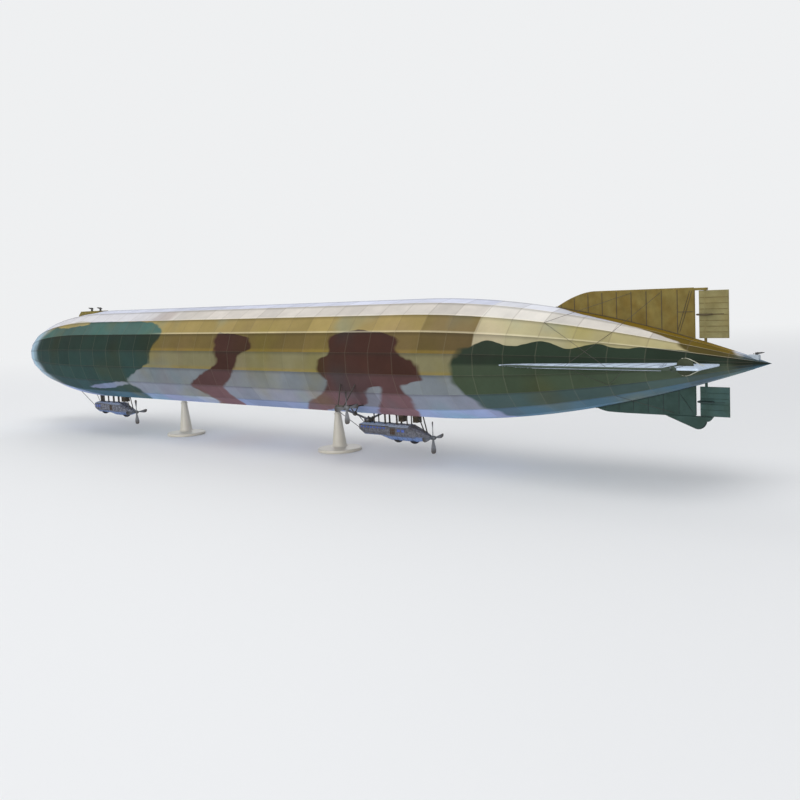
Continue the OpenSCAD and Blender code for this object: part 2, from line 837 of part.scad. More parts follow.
module fwd_gondola_tail() {
  color("#6f7174")
    at_fwd()
      difference() {
        gondola_form(fwd_cone);
        shaft_bore(fwd_gondola_length, bearing_depth);
      }
}

module fwd_gondola_glazing() {
  color("#4c6a9a")
    at_fwd()
      intersection() {
        gondola_form(fwd_body);
        union() {
          side_openings(fwd_body, fwd_windows, pane_gap);
          front_opening(fwd_body, pane_gap);
        }
      }
}

module fwd_gondola_door() {
  color("#3d3a37")
    at_fwd()
      intersection() {
        gondola_form(fwd_body);
        side_openings(fwd_body, fwd_doors, pane_gap);
      }
}

// Rear gondola
rear_windows = concat(
  [for (i = [0:7]) [2.4 + 2.1*i, 1.5, 1.3, 1]],
  [for (i = [0:1]) [26 + 2.6*i, 2.2, 1.9, 1.4]]);
rear_doors = [[21.6, 3.4, 1.5, 3.2]];

module rear_gondola_tub() {
  color("#77797c")
    at_rear()
      difference() {
        gondola_form(rear_body);
        roof_space(rear_roof_end);
        side_openings(rear_body, concat(rear_windows, rear_doors), 0);
      }
}

module rear_gondola_roof() {
  color("#a3abb8")
    at_rear()
      intersection() {
        gondola_form(rear_body);
        roof_space(rear_roof_end);
      }
}

module rear_gondola_tail() {
  color("#6f7174")
    at_rear()
      difference() {
        gondola_form(rear_cone);
        shaft_bore(rear_gondola_length, bearing_depth);
      }
}

module rear_gondola_glazing() {
  color("#4c6a9a")
    at_rear()
      intersection() {
        gondola_form(rear_body);
        side_openings(rear_body, rear_windows, pane_gap);
      }
}

module rear_gondola_door() {
  color("#3d3a37")
    at_rear()
      intersection() {
        gondola_form(rear_body);
        side_openings(rear_body, rear_doors, pane_gap);
      }
}

// Suspension struts in pairs: upright ones between roof and hull, and slanting ones to the tail cone
strut_spread = 1.6;
thin_strut = 0.65*strut_diameter;
fwd_uprights = [[11.6, strut_diameter], [17, thin_strut], [23, strut_diameter], [29, thin_strut]];
fwd_slant = [36.2, 40.5];
rear_uprights = [[10.4, thin_strut], [17.5, strut_diameter], [25, strut_diameter], [31.4, thin_strut]];
rear_slant = [38.5, 42];

module strut_pairs(uprights, slant, reach) {
  for (side = [-1, 1]) {
    for (u = uprights)
      bar([u[0], side*strut_spread, 0], [u[0], side*strut_spread, reach], u[1]);
    bar([slant[0], side*strut_spread, reach], [slant[1], side*tail_end, -propeller_drop], thin_strut);
  }
}

module fwd_gondola_struts() {
  color("#4a4a4a")
    difference() {
      at_fwd()
        difference() {
          strut_pairs(fwd_uprights, fwd_slant, 2*fwd_gondola_drop);
          gondola_form(concat(fwd_body, [fwd_cone[1]]));
        }
      hull_slice(fwd_gondola_station, fwd_gondola_station + fwd_gondola_length);
    }
}

module rear_gondola_struts() {
  color("#4a4a4a")
    difference() {
      at_rear()
        difference() {
          strut_pairs(rear_uprights, rear_slant, 2*rear_gondola_drop);
          gondola_form(concat(rear_body, [rear_cone[1]]));
        }
      hull_slice(rear_gondola_station, rear_gondola_station + rear_gondola_length);
    }
}

// Faired ladder trunk between the control cabin and the hull
trunk_station = 5.4;
trunk_length = 2.8;
trunk_width = 1.6;

module fwd_ladder_trunk() {
  color("#38352f")
    difference() {
      at_fwd()
        for (x = [0, trunk_length - trunk_width])
          translate([trunk_station + x, 0, 0]) {
            translate([trunk_width/2, 0, 0])
              cylinder(d = trunk_width, h = 3*fwd_gondola_drop);
            translate([trunk_width/2 - x, -trunk_width/2, 0])
              cube([trunk_length - trunk_width, trunk_width, 3*fwd_gondola_drop]);
          }
      hull_slice(fwd_gondola_station, fwd_gondola_station + fwd_gondola_length);
    }
}

// Radiators: ribbed blocks hung under the hull, clear of the gondola roofs
radiator_width = 3.4;
radiator_drop = 2.9;
radiator_ribs = 5;
fwd_radiator_setback = 31.4;
fwd_radiator_length = 4.4;
rear_radiator_setbacks = [26, 35];
rear_radiator_length = 2.8;

module radiator(station, length) {
  foot = -hull_radius - radiator_drop;
  pitch = length/radiator_ribs;
  difference() {
    translate([station, -radiator_width/2, foot])
      cube([length, radiator_width, 2*radiator_drop]);
    for (i = [0:radiator_ribs - 1], side = [-1, 1])
      translate([station + (i + 0.25)*pitch, side*radiator_width/2 - pane_depth, foot + pane_depth])
        cube([pitch/2, 2*pane_depth, 3*radiator_drop]);
    hull_slice(station - 1, station + length + 1);
  }
}

module fwd_radiator() {
  color("#4b3d30")
    radiator(fwd_gondola_station + fwd_radiator_setback, fwd_radiator_length);
}

module rear_radiators() {
  color("#4b3d30")
    for (x = rear_radiator_setbacks)
      radiator(rear_gondola_station + x, rear_radiator_length);
}

// Bumper cushions under the gondolas: flat on top, domed below
fwd_bumper_places = [[9.8, fwd_cabin_depth], [33.6, fwd_engine_depth]];
rear_bumper_places = [[24.2, rear_engine_depth], [34.4, rear_engine_depth]];

module bumper(x, depth) {
  dome = (pow(bumper_diameter/2, 2) + pow(bumper_depth, 2))/(2*bumper_depth);
  translate([x, 0, -depth])
    rotate([180, 0, 0])
      intersection() {
        translate([0, 0, bumper_depth - dome])
          sphere(dome);
        cylinder(d = bumper_diameter + 1, h = 2*bumper_depth);
      }
}

module fwd_bumpers() {
  color("#2a2a2c")
    at_fwd()
      for (p = fwd_bumper_places) bumper(p[0], p[1]);
}

module rear_bumpers() {
  color("#2a2a2c")
    at_rear()
      for (p = rear_bumper_places) bumper(p[0], p[1]);
}

// Propellers: a hub with four twisted paddle blades, on a shaft that runs in its bearing
hub_length = 1.8;
hub_gap = 0.4;
blade_count = 4;
blade_rings = 6;
blade_root = 0.3*hub_diameter;
root_width = 0.45*hub_diameter;

function blade_section(i) = let (
    u = i/(blade_rings - 1),
    x = blade_root + u*(propeller_diameter/2 - blade_root),
    pitch = blade_root_pitch + u*(blade_tip_pitch - blade_root_pitch),
    chord = u < 1 ? root_width + (blade_width - root_width)*pow(sin(90*min(1, u/0.8)), 2) : 0.7*blade_width,
    half_thick = 0.22 - 0.1*u)
  [for (p = [[0.5, 0], [0.2, 1], [-0.2, 1], [-0.5, 0], [-0.2, -1], [0.2, -1]])
    [x, p[0]*chord*cos(pitch) - p[1]*half_thick*sin(pitch), p[0]*chord*sin(pitch) + p[1]*half_thick*cos(pitch)]];

// The hub's front face is at the origin and the shaft reaches forward from it
module propeller() {
  difference() {
    union() {
      rotate([0, 90, 0])
        cylinder(d = hub_diameter, h = hub_length);
      translate([hub_length, 0, 0])
        rotate([0, 90, 0])
          cylinder(d1 = hub_diameter, d2 = 0.4*hub_diameter, h = 0.5*hub_length);
      for (k = [0:blade_count - 1])
        rotate([360*k/blade_count, 0, 0])
          translate([hub_length/2, 0, 0])
            rotate([0, -90, 0])
              loft([for (i = [0:blade_rings - 1]) blade_section(i)]);
    }
    translate([-1, 0, 0])
      rotate([0, 90, 0])
        cylinder(d = shaft_diameter + 2*eps, h = 1 + 0.7*hub_length);
  }
}

module propeller_shaft() {
  rotate([0, 90, 0])
    translate([0, 0, -hub_gap - 0.9*bearing_depth])
      cylinder(d = shaft_diameter, h = hub_gap + 0.9*bearing_depth + 0.6*hub_length);
}

module at_fwd_hub() {
  at_fwd() translate([fwd_gondola_length + hub_gap, 0, -propeller_drop]) children();
}

module at_rear_hub() {
  at_rear() translate([rear_gondola_length + hub_gap, 0, -propeller_drop]) children();
}

module fwd_propeller() {
  color("#8b8d90") at_fwd_hub() propeller();
}

module fwd_propeller_shaft() {
  color("#5a5a5c") at_fwd_hub() propeller_shaft();
}

module rear_propeller() {
  color("#8b8d90") at_rear_hub() propeller();
}

module rear_propeller_shaft() {
  color("#5a5a5c") at_rear_hub() propeller_shaft();
}

// Outrigger drive: a bevel gear tower on the rear gondola, slanting shafts and a gear housing on each side
tower_length = 3.4;
tower_width = 3.2;
tower_from_front = 3.6;
tower_station = rear_gondola_station + tower_from_front + tower_length/2;
tower_axis = -hull_radius - rear_gondola_drop + 0.55*tower_height;
housing_mid = outrigger_station - housing_length/2;
housing_point = [housing_mid, outrigger_reach, -outrigger_drop];
tower_point = [tower_station, 0, tower_axis];
drive_line = (housing_point - tower_point)/norm(housing_point - tower_point);
drive_slant = norm([drive_line.x, drive_line.z])/drive_line.y;
shaft_start = tower_point + drive_line*(tower_width/2 + seat_gap
  + drive_slant*drive_shaft_diameter/2)/drive_line.y;
shaft_end = housing_point - drive_line*(housing_diameter + drive_shaft_diameter)/2/drive_line.y;
support_point = (shaft_start + shaft_end)/2;
collar_length = 1.4;
collar_diameter = drive_shaft_diameter + 1;
support_splay = 3.2;
support_angle = 142;
housing_cap = 0.8;
upper_leg_angle = 112;
lower_leg_angle = 140;
front_leg_splay = [-4, -2];
rear_leg_splay = [2, 0];
trim_reach = 8;

module gear_tower() {
  color("#3d3b36")
    translate([tower_station - tower_length/2, -tower_width/2, -hull_radius - rear_gondola_drop]) {
      cube([tower_length, tower_width, tower_height]);
      for (x = [0, tower_length - thin_strut], y = [0, tower_width - thin_strut])
        translate([x, y, 0])
          cube([thin_strut, thin_strut, tower_height + 0.5]);
    }
}

module starboard_drive_shaft() {
  color("#55534e") rod(shaft_start, shaft_end, drive_shaft_diameter);
}

module port_drive_shaft() {
  color("#55534e") mirror([0, 1, 0]) rod(shaft_start, shaft_end, drive_shaft_diameter);
}

// A point on the hull's skin at a station and an angle down from the crest, sunk so that a strut is trimmed to it
function skin_point(t, angle) = let (r = skin_r(t, angle) - strut_diameter)
  [t, r*sin(angle), r*cos(angle)];

module shaft_support() {
  difference() {
    union() {
      rod(support_point - drive_line*collar_length/2, support_point + drive_line*collar_length/2,
        collar_diameter);
      for (x = [-support_splay, support_splay])
        bar(support_point, skin_point(support_point.x + x, support_angle), thin_strut);
    }
    rod(support_point - drive_line*collar_length, support_point + drive_line*collar_length,
      drive_shaft_diameter + 2*seat_gap);
    hull_slice(support_point.x - trim_reach, support_point.x + trim_reach);
  }
}

module shaft_supports() {
  color("#55534e")
    for (side = [0, 1]) mirror([0, side, 0]) shaft_support();
}

module outrigger() {
  front = [outrigger_station - housing_length + housing_cap, outrigger_reach, -outrigger_drop];
  rear = [outrigger_station - housing_cap, outrigger_reach, -outrigger_drop];
  difference() {
    union() {
      translate([outrigger_station - housing_length, outrigger_reach, -outrigger_drop])
        rotate([0, 90, 0]) {
          cylinder(d = housing_diameter, h = housing_length);
          translate([0, 0, -housing_cap])
            cylinder(d1 = 0.5*housing_diameter, d2 = housing_diameter, h = housing_cap);
        }
      bar(front, skin_point(front.x + front_leg_splay[0], upper_leg_angle), thin_strut);
      bar(front, skin_point(front.x + front_leg_splay[1], lower_leg_angle), thin_strut);
      bar(rear, skin_point(rear.x + rear_leg_splay[0], upper_leg_angle), thin_strut);
      bar(rear, skin_point(rear.x + rear_leg_splay[1], lower_leg_angle), thin_strut);
    }
    translate([outrigger_station - 0.95*bearing_depth, outrigger_reach, -outrigger_drop])
      rotate([0, 90, 0])
        cylinder(d = shaft_diameter + 2*running_clearance, h = bearing_depth + 1);
    hull_slice(front.x - trim_reach, rear.x + trim_reach);
  }
}

module starboard_outrigger() {
  color("#4a4a4a") outrigger();
}

module port_outrigger() {
  color("#4a4a4a") mirror([0, 1, 0]) outrigger();
}

module at_outrigger_hub(side) {
  translate([outrigger_station + hub_gap, side*outrigger_reach, -outrigger_drop]) children();
}

module port_propeller() {
  color("#8b8d90") at_outrigger_hub(-1) propeller();
}

module starboard_propeller() {
  color("#8b8d90") at_outrigger_hub(1) mirror([0, 1, 0]) propeller();
}

module port_propeller_shaft() {
  color("#5a5a5c") at_outrigger_hub(-1) propeller_shaft();
}

module starboard_propeller_shaft() {
  color("#5a5a5c") at_outrigger_hub(1) propeller_shaft();
}

// Stands: a round base, a tapering post and a peg that plugs into the hull, turned in one piece
base_crown = 0.8;

module stand(t) {
  translate([t, 0, -axis_height])
    rotate_extrude()
      polygon([[0, 0], [stand_base_diameter/2, 0], [stand_base_diameter/2, stand_base_thickness],
        [stand_foot_diameter/2, stand_base_thickness + base_crown], [stand_top_diameter/2, stand_height - seat_gap],
        [stand_peg_diameter/2, stand_height - seat_gap],
        [stand_peg_diameter/2, stand_height + stand_peg_length], [0, stand_height + stand_peg_length]]);
}

module front_stand() {
  color("#cfc9bb") stand(front_stand_station);
}

module rear_stand() {
  color("#cfc9bb") stand(rear_stand_station);
}

// Stay wires from the hull down to the front of each gondola
wire_rake = 10;
wire_spread = 5;

module stay_pair(station, sections, drop) {
  foot = [station + 1.6, width_at(sections, 1.6), -hull_radius - drop - 2.6];
  head = [station - wire_rake, wire_spread, -hull_r(station - wire_rake)*panel_share];
  for (side = [0, 1])
    mirror([0, side, 0])
      bar(foot, head, wire_diameter);
}

module stay_wires() {
  color("#6b6862")
    difference() {
      union() {
        stay_pair(fwd_gondola_station, fwd_body, fwd_gondola_drop);
        stay_pair(rear_gondola_station, rear_body, rear_gondola_drop);
      }
      hull_slice(fwd_gondola_station - 2*wire_rake, fwd_gondola_station + wire_rake);
      hull_slice(rear_gondola_station - 2*wire_rake, rear_gondola_station + wire_rake);
      at_fwd() gondola_form(fwd_body);
      at_rear() gondola_form(rear_body);
    }
}

module on_stands() {
  translate([-hull_length/2, 0, axis_height]) children();
}

on_stands() hull_port();
on_stands() hull_starboard();
on_stands() hull_formers();
on_stands() stand_formers();
on_stands() gun_platform();
on_stands() gun_pedestals();
on_stands() front_gun();
on_stands() rear_gun();
on_stands() tail_gun_seat();
on_stands() tail_gun();
on_stands() upper_fin();
on_stands() lower_fin();
on_stands() port_fin();
on_stands() starboard_fin();
on_stands() tail_skid();
on_stands() upper_rudder();
on_stands() lower_rudder();
on_stands() port_elevator();
on_stands() starboard_elevator();
on_stands() upper_rudder_horns();
on_stands() lower_rudder_horns();
on_stands() port_elevator_horns();
on_stands() starboard_elevator_horns();
on_stands() fwd_gondola_tub();
on_stands() fwd_gondola_roof();
on_stands() fwd_gondola_tail();
on_stands() fwd_gondola_glazing();
on_stands() fwd_gondola_door();
on_stands() fwd_gondola_struts();
on_stands() fwd_ladder_trunk();
on_stands() fwd_radiator();
on_stands() fwd_bumpers();
on_stands() fwd_propeller();
on_stands() fwd_propeller_shaft();
on_stands() rear_gondola_tub();
on_stands() rear_gondola_roof();
on_stands() rear_gondola_tail();
on_stands() rear_gondola_glazing();
on_stands() rear_gondola_door();
on_stands() rear_gondola_struts();
on_stands() rear_radiators();
on_stands() rear_bumpers();
on_stands() rear_propeller();
on_stands() rear_propeller_shaft();
on_stands() gear_tower();
on_stands() port_drive_shaft();
on_stands() starboard_drive_shaft();
on_stands() shaft_supports();
on_stands() port_outrigger();
on_stands() starboard_outrigger();
on_stands() port_propeller();
on_stands() starboard_propeller();
on_stands() port_propeller_shaft();
on_stands() starboard_propeller_shaft();
on_stands() front_stand();
on_stands() rear_stand();
on_stands() stay_wires();
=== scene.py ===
import json
import math

import bmesh
import bpy
from mathutils import Matrix, Vector


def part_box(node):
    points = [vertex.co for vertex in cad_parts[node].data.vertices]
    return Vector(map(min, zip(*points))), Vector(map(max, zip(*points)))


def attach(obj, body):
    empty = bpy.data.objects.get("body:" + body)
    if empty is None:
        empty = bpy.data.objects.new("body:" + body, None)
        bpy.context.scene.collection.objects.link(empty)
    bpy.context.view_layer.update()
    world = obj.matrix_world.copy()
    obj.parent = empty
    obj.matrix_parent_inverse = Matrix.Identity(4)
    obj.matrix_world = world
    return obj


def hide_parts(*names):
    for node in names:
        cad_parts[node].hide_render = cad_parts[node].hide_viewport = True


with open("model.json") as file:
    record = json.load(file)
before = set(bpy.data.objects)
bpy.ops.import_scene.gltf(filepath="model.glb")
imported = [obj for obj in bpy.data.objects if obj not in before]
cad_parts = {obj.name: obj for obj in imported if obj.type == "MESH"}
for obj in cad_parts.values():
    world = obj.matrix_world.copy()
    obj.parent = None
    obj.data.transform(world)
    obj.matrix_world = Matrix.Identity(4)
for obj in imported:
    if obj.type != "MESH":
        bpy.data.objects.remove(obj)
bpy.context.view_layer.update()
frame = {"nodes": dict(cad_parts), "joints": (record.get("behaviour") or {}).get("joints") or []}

# Hull skin: doped fabric stretched over eighteen lengthwise girders and a ring frame at the end of each bay.
# The model's hull is moulded in a port and a starboard half, glued on the centre plane and then sprayed
# in soft-edged camouflage: pale on top, ochre, olive and brown on the flanks, blue-grey below.
# The pale top and blue-grey below are partly painted light, and over the camouflage lie a painted sheen,
# painted highlights above girders, painted shade below them and above the side fins, and painted reflection.
MM = 0.001


def box(node):
    """Low and high corner of a CAD piece, in millimetres like all sizes here."""
    return [corner/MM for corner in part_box(node)]


port_low, port_high = box("hull_port")
nose_x = port_low.x
hull_length = port_high.x - port_low.x
hull_radius = (port_high.z - port_low.z)/2
axis_z = (port_high.z + port_low.z)/2
nose_length, nose_power = 96.0, 1.75
tail_length, tail_power = 156.0, 1.95
hull_panels, hull_bays, skin_sag = 18, 36, 0.07
half_panels = hull_panels//2
panel_angle = 2*math.pi/hull_panels
panel_share = math.cos(panel_angle/2)
bay_length = hull_length/hull_bays


def hull_r(t):
    """Radius over the girders at a station t behind the nose."""
    nose = math.sqrt(max(0.0, 1 - max(0.0, 1 - t/nose_length)**nose_power))
    tail = 1 - max(0.0, (t - hull_length + tail_length)/tail_length)**tail_power
    return hull_radius*nose*tail


def colour(chip):
    """Linear colour of a paint chip written as #rrggbb."""
    parts = [int(chip[i:i + 2], 16)/255 for i in (1, 3, 5)]
    return [c/12.92 if c <= 0.04045 else ((c + 0.055)/1.055)**2.4 for c in parts] + [1.0]


class Sum:
    """A number in a node tree, so that maths nodes can be written as plain sums."""

    def __init__(self, tree, socket):
        self.tree = tree
        self.socket = socket

    def to(self, operation, *others):
        """Puts the number through a maths node, with others beside it."""
        return worked(self.tree, operation, self, *others)

    def __add__(self, other):
        return self.to("ADD", other)

    def __sub__(self, other):
        return self.to("SUBTRACT", other)

    def __rsub__(self, other):
        return worked(self.tree, "SUBTRACT", other, self)

    def __mul__(self, other):
        return self.to("MULTIPLY", other)

    def __truediv__(self, other):
        return self.to("DIVIDE", other)

    def __rtruediv__(self, other):
        return worked(self.tree, "DIVIDE", other, self)


def fill(tree, node, inputs):
    """Sets the inputs of a node, or links them."""
    for name, value in dict(inputs).items():
        value = value.socket if isinstance(value, Sum) else value
        if isinstance(value, bpy.types.NodeSocket):
            tree.links.new(value, node.inputs[name])
        else:
            node.inputs[name].default_value = value


def add(tree, kind, inputs=(), **options):
    """Adds a node to a tree, sets its options and then its inputs."""
    node = tree.nodes.new(kind)
    for name, value in options.items():
        setattr(node, name, value)
    fill(tree, node, inputs)
    return node


def worked(tree, operation, *values):
    """The outcome of a maths node."""
    return Sum(tree, add(tree, "ShaderNodeMath", enumerate(values), operation=operation).outputs[0])


def split(tree, kind, value):
    """The three parts of a place (XYZ) or a colour (Color)."""
    return [Sum(tree, part) for part in add(tree, "ShaderNodeSeparate" + kind, {0: value}).outputs]


def placed(tree, *parts):
    """A place from its parts."""
    return add(tree, "ShaderNodeCombineXYZ", enumerate(parts)).outputs[0]


def scaled(tree, value, share):
    """A place or a colour, scaled."""
    return add(tree, "ShaderNodeVectorMath", {0: value, "Scale": share}, operation="SCALE").outputs[0]


def mixed(tree, share, under, over, blend="MIX"):
    """Lays one colour over another by a share."""
    layers = {0: share, 6: under, 7: over}
    return add(tree, "ShaderNodeMix", layers, data_type="RGBA", blend_type=blend).outputs[2]


def ramp(tree, value, stops):
    """A colour ramp through (place, chip) stops."""
    node = add(tree, "ShaderNodeValToRGB", {"Fac": value})
    elements = node.color_ramp.elements
    while len(elements) < len(stops):
        elements.new(0.5)
    for element, (place, chip) in zip(elements, stops):
        element.position = place
        element.color = colour(chip)
    return node.outputs["Color"]


def soft_step(value, low, high):
    """Rises smoothly from 0 at low to 1 at high."""
    node = add(value.tree, "ShaderNodeMapRange", {"Value": value, "From Min": low, "From Max": high},
               interpolation_type="SMOOTHSTEP")
    return Sum(value.tree, node.outputs["Result"])


def spot_on(tree):
    """The place on the model, in metres."""
    return add(tree, "ShaderNodeTexCoord").outputs["Object"]


def noise(tree, scale, detail, roughness=0.5):
    """Soft noise by place: as one value, and as a colour of three."""
    outputs = add(tree, "ShaderNodeTexNoise", {
        "Vector": spot_on(tree), "Scale": scale, "Detail": detail, "Roughness": roughness}).outputs
    return Sum(tree, outputs["Fac"]), outputs["Color"]


def inlets(tree):
    """What a group is given, by name."""
    return {socket.name: Sum(tree, socket) for socket in tree.nodes.new("NodeGroupInput").outputs}


def new_group(name, inputs, outputs):
    """A shader group with named sockets; a list makes a colour input and a number a value input."""
    group = bpy.data.node_groups.new(name, "ShaderNodeTree")
    for label, value in inputs.items():
        kind = "NodeSocketColor" if isinstance(value, list) else "NodeSocketFloat"
        group.interface.new_socket(label, in_out="INPUT", socket_type=kind).default_value = value
    for label, kind in outputs.items():
        group.interface.new_socket(label, in_out="OUTPUT", socket_type="NodeSocket" + kind)
    return group, inlets(group)


def new_tree(name, sizes):
    """A geometry tree whose named inputs are its sizes and its material."""
    tree = bpy.data.node_groups.new(name, "GeometryNodeTree")
    tree.interface.new_socket("Geometry", in_out="INPUT", socket_type="NodeSocketGeometry")
    for label, value in sizes.items():
        kind = "NodeSocketInt" if isinstance(value, int) else "NodeSocketFloat"
        tree.interface.new_socket(label, in_out="INPUT", socket_type=kind).default_value = value
    tree.interface.new_socket("Material", in_out="INPUT", socket_type="NodeSocketMaterial")
    tree.interface.new_socket("Geometry", in_out="OUTPUT", socket_type="NodeSocketGeometry")
    return tree, inlets(tree)


def end_tree(tree, given, geometry):
    """Ends a tree with real geometry that carries its material."""
    real = add(tree, "GeometryNodeRealizeInstances", {"Geometry": geometry}).outputs["Geometry"]
    clad = add(tree, "GeometryNodeSetMaterial", {"Geometry": real, "Material": given["Material"]})
    add(tree, "NodeGroupOutput", {"Geometry": clad.outputs["Geometry"]})


def grown(tree, material, sizes=(), base=None):
    """Runs a geometry tree on a base mesh and keeps what it makes as a plain mesh."""
    base = base or bpy.data.meshes.new("base")
    holder = bpy.data.objects.new("holder", base)
    bpy.context.scene.collection.objects.link(holder)
    modifier = holder.modifiers.new("tree", "NODES")
    modifier.node_group = tree
    values = dict(sizes, Material=material)
    for item in tree.interface.items_tree:
        if item.in_out == "INPUT" and item.name in values:
            modifier[item.identifier] = values[item.name]
    mesh = bpy.data.meshes.new_from_object(holder.evaluated_get(bpy.context.evaluated_depsgraph_get()))
    holder.modifiers.remove(modifier)
    bpy.data.objects.remove(holder)
    bpy.data.meshes.remove(base)
    mesh.materials.clear()
    mesh.materials.append(material)
    mesh.polygons.foreach_set("material_index", [0]*len(mesh.polygons))
    return mesh


def outward(mesh, crease=30):
    """Turns every face outwards and keeps edges sharper than the crease angle crisp."""
    bench = bmesh.new()
    bench.from_mesh(mesh)
    bmesh.ops.recalc_face_normals(bench, faces=bench.faces)
    bench.to_mesh(mesh)
    bench.free()
    mesh.shade_smooth()
    mesh.set_sharp_from_angle(angle=math.radians(crease))
    return mesh


def together(meshes):
    """Joins finished meshes into one, keeping their materials."""
    bench, joined = bmesh.new(), bpy.data.meshes.new("joined")
    for mesh in meshes:
        material = mesh.materials[0]
        if joined.materials.find(material.name) < 0:
            joined.materials.append(material)
        count = len(bench.faces)
        bench.from_mesh(mesh)
        bench.faces.ensure_lookup_table()
        for face in bench.faces[count:]:
            face.material_index = joined.materials.find(material.name)
        bpy.data.meshes.remove(mesh)
    bench.to_mesh(joined)
    bench.free()
    return joined


def piece(name, meshes, body, slot, *nodes):
    """Puts one finished mesh, or several joined, on a body in place of the given nodes."""
    made = bpy.data.objects.new(name, meshes[0] if len(meshes) == 1 else together(meshes))
    made.data.name = name
    bpy.context.scene.collection.objects.link(made)
    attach(made, body)
    if nodes:
        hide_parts(*nodes)


sprayed, given = new_group(
    "sprayed_paint",
    {"Paint": [0.5, 0.5, 0.5, 1.0], "Cloud Size": 6.0, "Mottle": 0.2, "Dryness": 0.6},
    {"Color": "Color", "Roughness": "Float", "Height": "Float"})
grain_scale = 4500
cloud, _ = noise(sprayed, 1/MM/given["Cloud Size"], 4, 0.6)
grain, _ = noise(sprayed, grain_scale, 2)
unevenness = grain*0.35 + cloud - 0.675
add(sprayed, "NodeGroupOutput", {
    "Color": scaled(sprayed, given["Paint"], unevenness*(given["Mottle"]*2.5) + 1),
    "Roughness": (grain - 0.5)*0.3 + given["Dryness"], "Height": cloud*0.3 + grain})


def painted(name, paint, cloud=6.0, mottle=0.2, dryness=0.6, bump=0.12, gloss=0.3, metal=0.0):
    """A sprayed finish from one chip, or from a function that makes a colour in the material's tree."""
    material = bpy.data.materials.new(name)
    material.use_nodes = True
    tree = material.node_tree
    spray = add(tree, "ShaderNodeGroup", {
        "Paint": paint(tree) if callable(paint) else colour(paint), "Cloud Size": cloud, "Mottle": mottle,
        "Dryness": dryness}, node_tree=sprayed).outputs
    relief = add(tree, "ShaderNodeBump", {"Strength": bump, "Distance": 0.05*MM, "Height": spray["Height"]})
    fill(tree, tree.nodes["Principled BSDF"], {
        "Specular IOR Level": gloss, "Metallic": metal, "Base Color": spray["Color"],
        "Roughness": spray["Roughness"], "Normal": relief.outputs["Normal"]})
    return material


# Paints: one chip, or a run of (degrees down from the crest, chip).
# In a run, a panel takes the paint at its middle.
# The fabric run is partly painted light: a paler crest as painted sky light, a bluer belly as painted
# reflection.
fabric = [(10, "#cacddb"), (30, "#ccc5bb"), (50, "#988653"), (70, "#675833"), (90, "#777254"),
          (110, "#777e83"), (130, "#868c9a"), (155, "#a0b2dd")]
nose_green = [(50, "#46655d"), (70, "#22322b"), (110, "#2f4643")]
tail_green = "#3d4938"
shaded_green = "#273327"
red_brown = "#3e2821"
tail_ochre = [(10, "#7f6822"), (64, "#262b1c")]
tail_point = [(10, "#889aac"), (56, "#20241b")]
nose_gold = "#a39455"
nose_tip_pale = "#adbbce"
belly_blue = "#7f8cab"
crest_beige = "#b9aca0"
crest_sheen = "#d3d6e2"
bay_shade = "#2e2614"
tail_cream = "#f3f0e6"
tail_khaki = "#a8a275"
# Painted light laid over lower panels: reflection from below, and a sheen on the tail.
blue_reflection = "#6f9cc0"
tail_sheen_green = "#93a08c"
brown_reflection = "#b8929e"
gold_highlight = "#8a7434"
edge_highlight_cream = "#efe6c8"
girder_shade_dark = "#2b2a24"
upper_ring = "#6d5f4e"
lower_ring = "#a29d85"
# Patches are lists of (degrees down from the crest, fore edge, aft edge), with the edges in millimetres.
nose_patch = [(39, 120, 100), (42, 55, 165), (50, 42, 174), (62, 34, 180), (76, 30, 173), (96, 31, 170),
              (106, 34, 155), (122, 42, 142), (138, 56, 150), (160, 95, 147), (180, 110, 138)]
notch_patch = [(120, 142, 138), (123, 128, 141), (130, 104, 129), (134, 97, 119), (137, 110, 104)]
gold_patch = [(36, 88, 80), (38, 68, 96), (42, 60, 98), (48, 76, 72)]
beige_patch = [(20, 170, 165), (22, 163, 178), (38, 161, 178), (40, 172, 166)]
flank_patch = [(56, 234, 228), (60, 229, 238), (64, 229, 256), (76, 230, 257), (82, 231, 251),
               (93, 230, 248), (105, 217, 244), (125, 203, 231), (131, 209, 231), (148, 214, 234),
               (180, 200, 222)]
rear_patch = [(56, 336, 330), (60, 320, 345), (66, 313, 355), (79, 316, 358), (89, 308, 367),
              (104, 310, 370), (109, 313, 360), (112, 326, 350), (114, 340, 336)]
fore_leg_patch = [(104, 324, 318), (108, 313, 339), (118, 310, 335), (132, 297, 331), (138, 292, 327),
                  (154, 283, 300), (180, 268, 282)]
aft_leg_patch = [(104, 353, 347), (108, 343, 360), (113, 344, 357), (126, 342, 360), (150, 332, 358),
                 (180, 324, 346)]
tail_patch = [(54, 508, 500), (57, 482, 510), (66, 444, 510), (69, 400, 510), (80, 390, 510),
              (105, 385, 510), (130, 394, 510), (180, 404, 510)]
crest_patch = [(0, 421, 497), (10, 436, 497), (20, 459, 497), (30, 473, 498), (54, 480, 501), (62, 486, 503),
               (68, 500, 492)]

